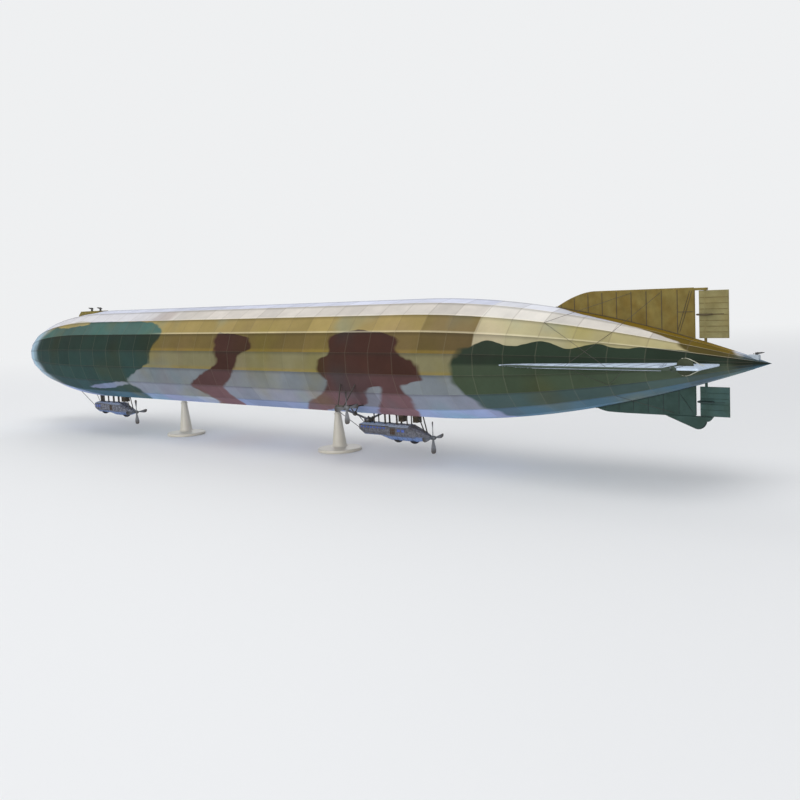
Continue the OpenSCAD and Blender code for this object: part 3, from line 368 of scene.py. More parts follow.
# Every place on the skin has a station behind the nose and an angle down from the crest, in degrees.
# Both are bent a little by noise, so that the edges of the sprayed patches wander.
# One group paints the camouflage and the light painted over it.
camouflage_and_light, _ = new_group("camouflage_and_light", {}, {"Color": "Color"})
x, y, z = split(camouflage_and_light, "XYZ", spot_on(camouflage_and_light))
station = x/MM - nose_x
angle = y.to("ABSOLUTE").to("ARCTAN2", z - axis_z*MM)*(180/math.pi)
starboard = y.to("GREATER_THAN", 0)
panel_degrees = 360/hull_panels
scallop_pitch, scallop_start, scallop_height = 23, 6, 3.2
station_drift, angle_drift, starboard_shift = 10, 6, 24
_, drift = noise(camouflage_and_light, 95, 2, 0.55)
drift = split(camouflage_and_light, "Color", drift)
scallop = ((station - scallop_start)*(2*math.pi/scallop_pitch)).to("SINE")
scallop = scallop*(soft_step(station, 388, 400)*soft_step(station, 470, 450))*soft_step(angle, 46, 58)
bent_angle = (drift[1] - 0.5)*angle_drift + angle + scallop*scallop_height
from_seam = soft_step(angle, 30, 70)*soft_step(angle, 175, 140)
middle = soft_step(station, 185, 215)*soft_step(station, 392, 365)
bent_station = (drift[0] - 0.5)*station_drift + station + starboard*from_seam*starboard_shift*middle
panel = (angle/panel_degrees).to("FLOOR")
panel_middle = (panel + 0.5)*panel_degrees
from_girder = angle - (angle/panel_degrees).to("ROUND")*panel_degrees
from_ring = (station - (station/bay_length).to("ROUND")*bay_length).to("ABSOLUTE")


def panel_paint(stops):
    """The paint of the panel that a point lies on."""
    return ramp(camouflage_and_light, panel_middle/180, [(degrees/180, chip) for degrees, chip in stops])


def reflected_below(paint, reflection, start, share):
    """A paint with a painted reflection from below over its lower panels, from an angle down to the keel."""
    return mixed(camouflage_and_light, soft_step(panel_middle, start, 180)*share, paint, colour(reflection))


def edge_line(points):
    """A station that follows the angle through given points."""
    node = add(camouflage_and_light, "ShaderNodeFloatCurve", {"Value": bent_angle/180})
    curve = node.mapping.curves[0]
    for _ in points[2:]:
        curve.points.new(0.5, 0.5)
    for point, (degrees, reach) in zip(curve.points, points):
        point.location = (degrees/180, reach/hull_length)
        point.handle_type = "AUTO_CLAMPED"
    node.mapping.update()
    return Sum(camouflage_and_light, node.outputs["Value"])*hull_length


def patch(points, fore_softness, softness):
    """Mask of one sprayed patch between its fore and aft edges."""
    fore = edge_line([(degrees, start) for degrees, start, _ in points])
    aft = edge_line([(degrees, end) for degrees, _, end in points])
    behind = soft_step(bent_station - fore, -fore_softness, fore_softness)
    return behind*soft_step(aft - bent_station, -softness, softness)


def bay_tint(bays, share):
    """A tone that changes from one run of bays to the next on each panel."""
    cell = placed(camouflage_and_light, (station/(bays*bay_length)).to("FLOOR"), panel, starboard)
    draw = add(camouflage_and_light, "ShaderNodeTexWhiteNoise", {0: cell}, noise_dimensions="3D")
    return Sum(camouflage_and_light, draw.outputs["Value"])*share + (1 - share/2)


upper_panels = soft_step(panel_middle, 45, 35)
flank_top = soft_step(panel_middle, 85, 75) - upper_panels
tail_bays = soft_step(station, 395.5, 396.5)
dark_bays = soft_step(station, 368, 369)*(1 - tail_bays)
cream_cover = tail_bays*(upper_panels*0.35 + flank_top*0.12)*(soft_step(station, 450, 415)*0.7 + 0.3)
# A painted highlight: a warm gold strip just above the girders at 80 and 100 degrees.
gold_highlight_share = soft_step(from_girder, -4.5, -1.5)*soft_step(from_girder, 0, -0.4)
gold_highlight_share = gold_highlight_share*(soft_step(angle, 72, 75)*soft_step(angle, 104, 101))
skin_paint = panel_paint(fabric)
# The last layer turns the nose paler blue-grey, ahead of 20 to 56 mm from its tip.
for share, chip in ((dark_bays*flank_top*0.4, bay_shade), (tail_bays*flank_top*0.6, tail_khaki),
                    (cream_cover, tail_cream), (gold_highlight_share*0.4, gold_highlight),
                    (soft_step(station, 56, 20), nose_tip_pale)):
    skin_paint = mixed(camouflage_and_light, share, skin_paint, colour(chip))

# The lower panels of the green, brown and tail-point paints carry a painted reflection from below.
nose_coat = reflected_below(panel_paint(nose_green), blue_reflection, 120, 0.75)
# Above the side fins the tail green is darker as painted shade; aft, a faint painted sheen lies below them.
tail_coat = mixed(camouflage_and_light, soft_step(angle, 92, 88), colour(tail_green), colour(shaded_green))
tail_coat = reflected_below(tail_coat, blue_reflection, 114, 0.75)
tail_sheen = soft_step(panel_middle, 85, 110)*soft_step(panel_middle, 150, 115)*soft_step(station, 430, 492)
tail_coat = mixed(camouflage_and_light, tail_sheen*0.1, tail_coat, colour(tail_sheen_green))
brown_coat = reflected_below(colour(red_brown), brown_reflection, 90, 0.65)
for points, coat, fore_softness, softness in (
        (nose_patch, nose_coat, 8, 1.6), (notch_patch, colour(belly_blue), 3, 3),
        (gold_patch, colour(nose_gold), 3, 3), (beige_patch, colour(crest_beige), 1.5, 4),
        (tail_patch, tail_coat, 1.8, 1.8), (flank_patch, brown_coat, 1.5, 1.5),
        (rear_patch, brown_coat, 1.5, 1.5), (fore_leg_patch, brown_coat, 1.5, 1.5),
        (aft_leg_patch, brown_coat, 1.5, 1.5), (crest_patch, panel_paint(tail_ochre), 1.5, 1.5)):
    skin_paint = mixed(camouflage_and_light, patch(points, fore_softness, softness), skin_paint, coat)
point_coat = reflected_below(panel_paint(tail_point), blue_reflection, 90, 0.5)
skin_paint = mixed(camouflage_and_light, soft_step(bent_station, 496, 502), skin_paint, point_coat)

flank = soft_step(angle, 39.5, 40.5)
low_flank = soft_step(angle, 58, 61)
skin_paint = scaled(camouflage_and_light, skin_paint, bay_tint(1, 0.18)*bay_tint(3, 0.18))
# A painted sky reflection makes the upper panels paler towards the nose.
crest_sheen_share = (1 - flank)*soft_step(station, 200, 130)*0.5
skin_paint = mixed(camouflage_and_light, crest_sheen_share, skin_paint, colour(crest_sheen))
_, tinge = noise(camouflage_and_light, 26, 2, 0.55)
washes = (("#4f7f86", 0.3), ("#6e6528", 0.35), ("#8a6a72", 0.12))
for cover, (chip, share) in zip(split(camouflage_and_light, "Color", tinge), washes):
    cover = soft_step(cover, 0.5, 0.72)*flank*share
    skin_paint = mixed(camouflage_and_light, cover, skin_paint, colour(chip), "COLOR")
# Painted highlight: a cream strip just above each upper girder, down to 60 degrees, aft of the nose.
lit_edge = soft_step(from_girder, -3, -1)*soft_step(from_girder, 0, -0.5)*0.3
lit_edge = lit_edge*(soft_step(angle, 70, 62)*soft_step(station, 165, 190))
ring_line = soft_step(from_ring, 0.4, 0.12)*(low_flank*-0.18 + 0.24)
# Painted shade: a dark strip just below every girder.
shaded_edge = from_girder.to("GREATER_THAN", 0)*soft_step(from_girder, 4.5, 0)*0.35
ring_paint = mixed(camouflage_and_light, low_flank, colour(upper_ring), colour(lower_ring))
for share, coat in ((lit_edge, colour(edge_highlight_cream)), (ring_line, ring_paint),
                    (shaded_edge, colour(girder_shade_dark))):
    skin_paint = mixed(camouflage_and_light, share, skin_paint, coat)
add(camouflage_and_light, "NodeGroupOutput", {"Color": skin_paint})


def hull_coat(tree):
    return add(tree, "ShaderNodeGroup", node_tree=camouflage_and_light).outputs["Color"]


hull_paint = painted("camouflage_and_light_skin", hull_coat, cloud=9, mottle=0.16, dryness=0.7, bump=0.1, gloss=0.08)

half_hull, size = new_tree("half_hull", {
    "Length": hull_length, "Radius": hull_radius, "Axis Height": axis_z, "Nose X": nose_x,
    "Nose Length": nose_length, "Nose Power": nose_power,
    "Tail Length": tail_length, "Tail Power": tail_power,
    "Panels": half_panels, "Bays": hull_bays, "Steps": 8, "Nose Rows": 18, "Sag": skin_sag, "Side": 1.0})
rows = (size["Bays"] - 1)*size["Steps"] + size["Nose Rows"]
skin_grid = add(half_hull, "GeometryNodeMeshGrid", {
    "Vertices X": rows + 1, "Vertices Y": size["Panels"]*size["Steps"] + 1})
seam_grid = add(half_hull, "GeometryNodeMeshGrid", {"Vertices X": rows + 1, "Vertices Y": 2})
both = add(half_hull, "GeometryNodeJoinGeometry", {"Geometry": skin_grid.outputs["Mesh"]})
half_hull.links.new(seam_grid.outputs["Mesh"], both.inputs["Geometry"])
lengthwise, around, _ = split(half_hull, "XYZ", add(half_hull, "GeometryNodeInputPosition").outputs[0])
row = (lengthwise + 0.5)*rows
in_nose = row.to("MINIMUM", size["Nose Rows"])/size["Nose Rows"]
past_nose = (row - size["Nose Rows"]).to("MAXIMUM", 0)/size["Steps"]
bays_back = in_nose*in_nose + past_nose
back = bays_back*(size["Length"]/size["Bays"])
nose_share = (1 - back/size["Nose Length"]).to("MAXIMUM", 0).to("POWER", size["Nose Power"])
nose_share = (1 - nose_share).to("SQRT")
tail_share = (back - (size["Length"] - size["Tail Length"]))/size["Tail Length"]
tail_share = 1 - tail_share.to("MAXIMUM", 0).to("POWER", size["Tail Power"])
panel_step = math.pi/size["Panels"]
panels_down = (around + 0.5)*size["Panels"]
over, along = panels_down.to("FRACT"), bays_back.to("FRACT")
skin_radius = size["Radius"]*(nose_share*tail_share)*(panel_step*0.5).to("COSINE")
skin_radius = skin_radius/((over - 0.5)*panel_step).to("COSINE")
billow = over*(1 - over)*16*(along*(1 - along))
skin_radius = (skin_radius - billow*(size["Sag"]*nose_share)).to("MAXIMUM", 0)
down = panels_down*panel_step
new_place = placed(half_hull, size["Nose X"] + back, skin_radius*down.to("SINE")*size["Side"],
                   skin_radius*down.to("COSINE") + size["Axis Height"])
bent = add(half_hull, "GeometryNodeSetPosition", {
    "Geometry": both.outputs["Geometry"], "Position": scaled(half_hull, new_place, MM)})
welded = add(half_hull, "GeometryNodeMergeByDistance", {
    "Geometry": bent.outputs["Geometry"], "Distance": 2e-6})
end_tree(half_hull, size, welded.outputs["Geometry"])
for side, half in ((-1.0, "port"), (1.0, "starboard")):
    skin = outward(grown(half_hull, hull_paint, {"Side": side}), 14)
    piece(half + "_skin", [skin], "airship", "hull_skin", "hull_" + half)

# Girders and ring frames: thin metal lattice under the fabric, which shows as lines taped over outside.
# On the model they are fine raised lines under the same coats of paint, mixed a little paler than the skin.
tape_radius, ring_radius, tape_sink = 0.11, 0.088, 0.044
tape_stops = 96


def skin_place(t, turn, side, lift=0.0):
    """A point on the panelled skin at a station and an angle down from the crest."""
    r = hull_r(t)*panel_share/math.cos(turn % panel_angle - panel_angle/2) + lift
    return Vector((nose_x + t, side*r*math.sin(turn), axis_z + r*math.cos(turn)))


rod_tree, given = new_tree("rods_and_wires", {"Sides": 10, "Girth": 1.0})
thickness = add(rod_tree, "GeometryNodeInputNamedAttribute", {"Name": "thickness"}, data_type="FLOAT")
paths = add(rod_tree, "GeometryNodeMeshToCurve", {"Mesh": given["Geometry"]})
section = add(rod_tree, "GeometryNodeCurvePrimitiveCircle", {
    "Resolution": given["Sides"], "Radius": given["Girth"]})
rods = add(rod_tree, "GeometryNodeCurveToMesh", {
    "Curve": paths.outputs["Curve"], "Profile Curve": section.outputs["Curve"],
    "Scale": thickness.outputs["Attribute"], "Fill Caps": True})
end_tree(rod_tree, given, rods.outputs["Mesh"])


def drawn(lines, material, sides=10):
    """Rods or wires along lines of (points, radius or radii), with True added where a line closes."""
    points, edges, radii = [], [], []
    for line, radius, *closed in lines:
        first = len(points)
        points += [p*MM for p in line]
        radii += [r*MM for r in (radius if isinstance(radius, list) else [radius]*len(line))]
        edges += [(i, i + 1) for i in range(first, len(points) - 1)]
        if closed:
            edges.append((len(points) - 1, first))
    base = bpy.data.meshes.new("lines")
    base.from_pydata(points, edges, [])
    base.attributes.new("thickness", "FLOAT", "POINT").data.foreach_set("value", radii)
    return outward(grown(rod_tree, material, {"Sides": sides}, base), 40)


def tape_coat(tree):
    return mixed(tree, 0.07, hull_coat(tree), colour("#a39c86"))


tape_paint = painted("paler_tape", tape_coat, cloud=3, mottle=0.3, dryness=0.7, gloss=0.08)
girders = [(k*panel_angle, 1) for k in range(half_panels + 1)]
girders += [(k*panel_angle, -1) for k in range(half_panels - 1, 0, -1)]
stops = [hull_length*(i/tape_stops)**1.15 for i in range(1, tape_stops)]
tapes = []
for turn, side in girders:
    tapes.append(([skin_place(t, turn, side, -tape_sink) for t in stops], tape_radius))
for i in range(1, hull_bays):
    loop = [skin_place(i*bay_length, turn, side, -tape_sink) for turn, side in girders]
    tapes.append((loop, ring_radius, True))
piece("hull_tapes", [drawn(tapes, tape_paint, 6)], "airship", "hull_skin")

# Formers: flat moulded rings glued inside the hull halves, two of them bored for the stands' pegs.
# They are left in bare plastic, because the closed hull hides them.
bare_plastic = painted("bare_plastic", "#cdc8ba", cloud=12, mottle=0.06, dryness=0.45, gloss=0.5)
for node in ("hull_formers", "stand_formers"):
    for slot in frame["nodes"][node].material_slots:
        slot.material = bare_plastic

# Gun platform: a wedge-shaped deck of planks in a low rim, set on the crest behind the nose.
# It is a separate moulding, glued on and painted in gold ochre.
platform_low, platform_high = box("gun_platform")
deck_slope, rim_wall, deck_recess, rim_depth = 2.6, 0.7, 0.4, 0.2
plank_count, plank_height = 9, 0.24
up, aft = Vector((0, 0, 1)), Vector((1, 0, 0))
deck_ochre = painted("deck_ochre", "#786a2c", cloud=1.6, mottle=0.7, dryness=0.6, bump=0.3)


def solid(bench, rings, closed=False):
    """Adds a skin through rings of points, capped at both ends or closed into a hoop."""
    loops = [[bench.verts.new(p) for p in ring] for ring in rings]
    n = len(loops[0])
    for a, b in zip(loops, loops[1:] + loops[:1] if closed else loops[1:]):
        for k in range(n):
            bench.faces.new((a[k], a[(k + 1) % n], b[(k + 1) % n], b[k]))
    if not closed:
        bench.faces.new(loops[0][::-1])
        bench.faces.new(loops[-1])


def block(bench, low, high):
    """Adds a block between two corners."""
    corners = [(low[0], low[1]), (high[0], low[1]), (high[0], high[1]), (low[0], high[1])]
    solid(bench, [[Vector((x, y, z)) for x, y in corners] for z in (low[2], high[2])])


def turned(bench, profile, start, axis, sides=32, hoop=False):
    """Adds a turned form: profile is (distance along the axis, radius)."""
    axis = Vector(axis).normalized()
    across = axis.orthogonal().normalized()
    beside = axis.cross(across)
    rings = []
    for distance, radius in profile:
        centre = Vector(start) + axis*distance
        rings.append([centre + radius*(math.cos(a)*across + math.sin(a)*beside)
                      for a in (2*math.pi*k/sides for k in range(sides))])
    solid(bench, rings, hoop)


def finished(bench, material, soften=0.0, crease=30):
    """Rounds the sharp edges of what is on the bench and makes it a mesh, in metres."""
    bmesh.ops.scale(bench, vec=(MM, MM, MM), verts=bench.verts)
    bmesh.ops.remove_doubles(bench, verts=bench.verts, dist=1e-8)
    bmesh.ops.recalc_face_normals(bench, faces=bench.faces)
    if soften:
        sharp = [e for e in bench.edges if len(e.link_faces) == 2 and e.calc_face_angle() > math.radians(25)]
        bmesh.ops.bevel(bench, geom=sharp, offset=soften*MM, segments=2, profile=0.5, affect="EDGES",
                        clamp_overlap=True)
    mesh = bpy.data.meshes.new("part")
    bench.to_mesh(mesh)
    bench.free()
    mesh.materials.append(material)
    return outward(mesh, crease)


board_tree, given = new_tree("board_row", {
    "Count": 9, "Pitch": 1.0, "Length": 1.0, "Width": 1.0, "Height": 1.0, "X": 0.0, "Z": 0.0})
row_line = add(board_tree, "GeometryNodeMeshLine", {
    "Count": given["Count"], "Start Location": placed(board_tree, given["X"], 0, given["Z"]),
    "Offset": placed(board_tree, given["Pitch"])})
board = add(board_tree, "GeometryNodeMeshCube", {
    "Size": placed(board_tree, given["Length"], given["Width"], given["Height"])})
laid = add(board_tree, "GeometryNodeInstanceOnPoints", {
    "Points": row_line.outputs["Mesh"], "Instance": board.outputs["Mesh"]})
end_tree(board_tree, given, laid.outputs["Instances"])


def boards(material, count, pitch, share, width, height, start, z):
    """A row of boards from a start at x, each as long as a share of the pitch."""
    sizes = {"Pitch": pitch, "Length": share*pitch, "Width": width, "Height": height,
             "X": start + pitch/2, "Z": z}
    metres = {label: size*MM for label, size in sizes.items()}
    return outward(grown(board_tree, material, {"Count": count, **metres}))


deck_front = platform_low.x + deck_slope
deck_top, deck_half = platform_high.z, platform_high.y
deck_floor = deck_top - deck_recess
rim_foot = deck_floor - rim_depth
front_edge = axis_z + hull_r(platform_low.x - nose_x) + 0.05
profile = [(platform_low.x, platform_low.z), (platform_low.x, front_edge), (deck_front, deck_floor),
           (platform_high.x, deck_floor), (platform_high.x, platform_low.z)]
bench = bmesh.new()
solid(bench, [[Vector((x, y, z)) for x, z in profile] for y in (-deck_half, deck_half)])
rim = []
for x, inward, side in ((deck_front, rim_wall, -1), (platform_high.x, -rim_wall, -1),
                        (platform_high.x, -rim_wall, 1), (deck_front, rim_wall, 1)):
    outer, inner = (x, side*deck_half), (x + inward, side*(deck_half - rim_wall))
    rim.append([Vector((*outer, rim_foot)), Vector((*outer, deck_top)), Vector((*inner, deck_top)),
                Vector((*inner, rim_foot))])
solid(bench, rim, True)
platform = finished(bench, deck_ochre, 0.06)
plank_pitch = (platform_high.x - deck_front - 2*rim_wall)/plank_count
planks = boards(deck_ochre, plank_count, plank_pitch, 0.82, 2*(deck_half - rim_wall), plank_height,
                deck_front + rim_wall, deck_floor)
piece("platform_and_planks", [platform, planks], "airship", "deck_ochre", "gun_platform")

# Gun pedestals: short turned cones with a flange, each with a bore for the gun's pivot pin.
# Both stand on the deck's centre line, painted satin black like the guns.
pedestal_height, pivot_bore = 1.4, 0.3
gun_black = painted("gun_black", "#2b2a28", cloud=1.5, mottle=0.3, dryness=0.42, gloss=0.5)
pivots = {joint["child"]: Vector(joint["pos_m"])/MM for joint in frame["joints"]}
pedestal = [(0, 1.05), (0.2, 1.05), (0.3, 0.85), (1.1, 0.52), (1.2, 0.62), (pedestal_height, 0.62),
            (pedestal_height, pivot_bore), (0.5, pivot_bore), (0.4, 0.02), (0, 0.02)]
bench = bmesh.new()
for gun in ("front_gun", "rear_gun"):
    turned(bench, pedestal, (pivots[gun].x, 0, deck_floor), up, 24, True)
piece("pedestals", [finished(bench, gun_black)], "airship", "gun_black", "gun_pedestals")

# Tail gun seat: a small saddle faired into the last of the tail cone, pale like the fabric round it.
# Its flat top takes the pivot pin of the tail gun.
seat_low, seat_high = box("tail_gun_seat")
seat_top, seat_foot, seat_edge = box("tail_gun")[0].z + 0.8, axis_z + 0.5, 0.25
lip = axis_z + hull_r(seat_low.x - nose_x) + 0.2
seat_grey = painted("seat_grey", "#9fa9b1", cloud=1.5, mottle=0.25)
rings = []
for x, width, top in ((seat_low.x, 0.7, lip - 0.15), (seat_low.x + 0.3, 0.9, lip),
                      (seat_high.x - 1.8, 1, seat_top), (seat_high.x - 0.2, 1, seat_top),
                      (seat_high.x, 0.85, seat_top - 0.15)):
    half = width*seat_high.y
    rings.append([Vector((x, y, z)) for y, z in (
        (-half, seat_foot), (half, seat_foot), (half, top - seat_edge), (half - seat_edge, top),
        (seat_edge - half, top), (-half, top - seat_edge))])
bench = bmesh.new()
solid(bench, rings)
piece("tail_seat", [finished(bench, seat_grey)], "airship", "seat_grey", "tail_gun_seat")

# Guns: a receiver on a pivot pin, a finned cooling jacket, a flared muzzle, sights and two spade grips.
gun_elevation = math.radians(8)
pin_depth, swing_gap = 0.8, 0.3
receiver = Vector((1.9, 0.8, 0.9))
receiver_top = receiver.z/2
jacket_reach, muzzle_reach, grip_reach = 2.8, 3.64, 1.96
jacket_fins, jacket_pitch = 7, 0.25
jacket = [(0.7, 0.32)]
for i in range(jacket_fins):
    start = 0.95 + i*jacket_pitch
    jacket += [(start, 0.32), (start + 0.05, 0.4), (start + 0.15, 0.4), (start + 0.2, 0.32)]
jacket += [(jacket_reach, 0.32), (jacket_reach, 0.17), (muzzle_reach - 0.35, 0.17),
           (muzzle_reach - 0.1, 0.25), (muzzle_reach, 0.25), (muzzle_reach, 0.12),
           (muzzle_reach - 0.3, 0.1), (muzzle_reach - 0.3, 0.001)]
pin = [(0, 0.2), (0.06, 0.25), (pin_depth, 0.25), (pin_depth + 0.02, 0.42), (pin_depth + 0.14, 0.42),
       (pin_depth + 0.2, 0.25), (pin_depth + 0.35, 0.25)]
for gun, aim, share in (("front_gun", math.pi, 1.0), ("rear_gun", math.pi, 1.0), ("tail_gun", 0.0, 0.7)):
    foot = Vector((pivots[gun].x, 0, box(gun)[0].z))
    bench = bmesh.new()
    block(bench, -receiver/2, receiver/2)
    block(bench, (-0.35, -0.28, receiver_top), (0.55, 0.28, receiver_top + 0.12))
    block(bench, (-0.85, -0.06, receiver_top), (-0.7, 0.06, receiver_top + 0.3))
    for side in (-1, 1):
        block(bench, (-grip_reach, side*0.22 - 0.08, -0.22), (0.16 - grip_reach, side*0.22 + 0.08, 0.24))
        block(bench, (-grip_reach, side*0.2 - 0.06, 0.1), (-0.8, side*0.2 + 0.06, 0.22))
    turned(bench, jacket, (0, 0, 0), (1, 0, 0), 16)
    turned(bench, [(0, 0.11), (0.8, 0.11)], (0, -0.4, 0), (0, 1, 0), 12)
    lift = Matrix.Translation(foot + up*(pin_depth + swing_gap/2 + share*receiver_top))
    level = Matrix.Rotation(aim, 4, "Z") @ Matrix.Rotation(-gun_elevation, 4, "Y")
    bmesh.ops.transform(bench, verts=bench.verts, matrix=lift @ level @ Matrix.Scale(share, 4))
    turned(bench, pin, foot, up, 20)
    piece(gun + "_moulding", [finished(bench, gun_black, 0.02)], gun, "gun_black", gun)

# Fins: ribbed frames covered in fabric, with a rounded leading edge, a rear post and braces in the last bay.
# Each is a thin moulding glued into a slot in the hull.
# A boom at the tip holds the rudder's or elevator's stock.
fin_gap, fin_half, fin_sag = 2.2, 0.5, 0.16
fin_rib_pitch, rib_radius = 6.3, 0.18
edge_power, boom_depth, fin_lip, point_length = 1.7, 0.9, 0.8, 14
fin_columns, edge_highlight_column = 72, 18
hinge = pivots["upper_rudder"].x - nose_x
blade_front, blade_rear = (corner.x - nose_x for corner in box("upper_rudder"))
fin_rear = blade_front - fin_gap
last_bay = fin_rear - fin_rib_pitch
upper_height = box("upper_fin")[1].z - axis_z
lower_depth = axis_z - box("lower_fin")[0].z
side_span = box("starboard_fin")[1].y


def upward(t, w, d):
    return Vector((nose_x + t, d, axis_z + w))


def downward(t, w, d):
    return Vector((nose_x + t, d, axis_z - w))


def to_port(t, w, d):
    return Vector((nose_x + t, -w, axis_z + d))


def to_starboard(t, w, d):
    return Vector((nose_x + t, w, axis_z + d))


def steps(start, end, pitch):
    """Places from a start on, a pitch apart and short of the end."""
    return [start + i*pitch for i in range(math.ceil((end - start)/pitch))]


def covering(bench, columns, low, high, half, place, rows=14):
    """Adds a closed fabric sheet between two edges, drawn in between its ribs."""
    rims = []
    for d in (-1, 1):
        grid = []
        for t in columns:
            widths = [low(t) + (high(t) - low(t))*j/rows for j in range(rows + 1)]
            grid.append([bench.verts.new(place(t, w, d*half(t, w))) for w in widths])
        for a, b in zip(grid, grid[1:]):
            for j in range(rows):
                bench.faces.new((a[j], b[j], b[j + 1], a[j + 1]))
        rims.append(grid[0] + [g[-1] for g in grid[1:]] + grid[-1][-2::-1] + [g[0] for g in grid[-2:0:-1]])
    for k in range(len(rims[0])):
        bench.faces.new((rims[0][k], rims[0][k - 1], rims[1][k - 1], rims[1][k]))


def sheet_paint(name, chip, dark, share, mottle):
    """Fabric paint with soft darker streaks."""
    def coat(tree):
        streak, _ = noise(tree, 150, 3)
        return mixed(tree, soft_step(streak, 0.35, 0.7)*share, colour(chip), colour(dark))
    return painted(name, coat, cloud=4, mottle=mottle, bump=0.2, gloss=0.1)


ochre_sheet = sheet_paint("ochre_sheet", "#776939", "#6b5828", 0.8, 0.3)
ochre_rib = painted("ochre_rib", "#4f442f", cloud=2, mottle=0.3)
green_sheet = sheet_paint("green_sheet", "#394d48", "#31433c", 0.8, 0.25)
green_rib = painted("green_rib", "#2c3c39", cloud=2, mottle=0.3)
pale_sheet = sheet_paint("pale_sheet", "#ccdae9", "#bccadb", 0.7, 0.15)
pale_rib = painted("pale_rib", "#a3adba", cloud=2, mottle=0.3)
olive_edge = painted("olive_edge", "#3a463a", cloud=2, mottle=0.3)
ochre = (ochre_sheet, ochre_rib, ochre_sheet, "ochre_sheet")
green = (green_sheet, green_rib, green_sheet, "green_sheet")
pale = (pale_sheet, pale_rib, olive_edge, "pale_sheet")
fins = (("upper_fin", 1.7, 18, upper_height, 1.0, upward, ochre),
        ("lower_fin", 2.8, 6, lower_depth, 1.0, downward, green),
        ("port_fin", 0.8, 24, side_span, panel_share, to_port, pale),
        ("starboard_fin", 0.8, 24, side_span, panel_share, to_starboard, pale))
for name, set_back, curve, height, share, place, (sheet, rib, edge, slot) in fins:
    start = box(name)[0].x - nose_x + set_back
    reach = fin_rear - start
    columns = [start + reach*i/fin_columns for i in range(fin_columns + 1)]

    def fin_root(t):
        return share*hull_r(t) - 0.5

    def fin_head(t):
        base = share*hull_r(start)
        u = min(1.0, max(0.0, (t - start)/curve))
        return base + (height - base)*(1 - (1 - u)**edge_power) - 0.25

    def fin_taper(t):
        return 1 - 0.85*(1 - min(1.0, (t - start)/point_length))**1.5

    def fin_thickness(t, w):
        deep = (w - fin_root(t))/(fin_head(t) - fin_root(t))
        sag = fin_sag*math.sin(math.pi*(fin_rear - t)/fin_rib_pitch)**2*math.sin(math.pi*deep)
        return (fin_half - sag)*fin_taper(t)

    bench = bmesh.new()
    covering(bench, columns, fin_root, fin_head, fin_thickness, place)
    parts = [finished(bench, sheet, 0, 35)]
    lines = [([place(t, fin_head(t), 0) for t in columns], [0.47*fin_taper(t) for t in columns]),
             ([place(fin_rear, fin_root(fin_rear), 0), place(fin_rear, height - 0.3, 0)], 0.45)]
    parts.append(drawn(lines, edge, 12))
    lines = []
    bay_foot = fin_root(last_bay)
    middle = (bay_foot + height)/2
    for d in (-fin_half, fin_half):
        for back in steps(fin_rib_pitch, reach - 0.3*fin_rib_pitch, fin_rib_pitch):
            t = fin_rear - back
            ends = (fin_root(t), fin_head(t) - 0.2)
            lines.append(([place(t, w, d*fin_taper(t)) for w in ends], rib_radius))
        lines.append(([place(t, share*hull_r(t) + 0.05, d*fin_taper(t)) for t in columns], rib_radius))
        # A thin pale rod under the edge of the side fins is a painted highlight.
        if edge is olive_edge and d < 0:
            lip = [place(t, fin_head(t) + 0.15, 0.92*d*fin_taper(t)) for t in columns[edge_highlight_column:]]
            lines.append((lip, 0.12))
        if name == "lower_fin":
            brace = [place(last_bay, bay_foot + 1.2, d), place(fin_rear - 0.5, height - 1, d)]
            lines.append((brace, 0.8*rib_radius))
            continue
        for shift in (0.0, 0.9):
            foot, head = (last_bay + shift, bay_foot + 1.4), (fin_rear - 1.4 + shift, height - 1)
            lines.append(([place(*foot, d), place(*head, d)], 0.7*rib_radius))
        lines.append(([place(last_bay, middle, d), place(fin_rear, middle, d)], 0.7*rib_radius))
    parts.append(drawn(lines, rib, 8))
    if name != "lower_fin":
        boom_foot = height - boom_depth
        boom_front = fin_rear - fin_lip
        corners = [(boom_front, height), (hinge, height), (hinge, boom_foot), (boom_front, boom_foot)]
        bench = bmesh.new()
        solid(bench, [[place(t, w, d) for t, w in corners] for d in (-fin_half, fin_half)])
        eye = [(0, 0.55), (0, 0.92), (0.1, 1), (0.8, 1), (boom_depth, 0.9), (boom_depth, 0.55)]
        eye_start = place(hinge, boom_foot, 0)
        turned(bench, eye, eye_start, place(hinge, height, 0) - eye_start, 28, True)
        parts.append(finished(bench, edge, 0.08))
    piece(name + "_frame", parts, "airship", slot, name)

# Tail skid: a solid bumper glued under the lower fin, with a straight slope in front and a round heel.
# It keeps the lower rudder off the ground and carries the foot of its stock.
skid_half, skid_radius, skid_heel = 1, 3.2, 1
skid_start = box("tail_skid")[0].x - nose_x
heel_t, heel_w = fin_rear + 1, axis_z - box("tail_skid")[0].z - skid_radius
outline = [(skid_start, lower_depth), (hinge + 2.6*skid_heel, lower_depth),
           (hinge + skid_heel, lower_depth + 1.8)]
outline += [(heel_t + skid_radius*math.cos(a), heel_w + skid_radius*math.sin(a))
            for a in map(math.radians, range(8, 112, 4))]
bench = bmesh.new()
solid(bench, [[downward(t, w, d) for t, w in outline] for d in (-skid_half, skid_half)])
sole = [(skid_start + 1, lower_depth + 0.3)] + outline[:2:-1]
shoe = drawn([([downward(t, w, 0) for t, w in sole], 0.35)], green_rib)
piece("skid_and_shoe", [finished(bench, green_sheet, 0.3), shoe], "airship", "green_sheet", "tail_skid")

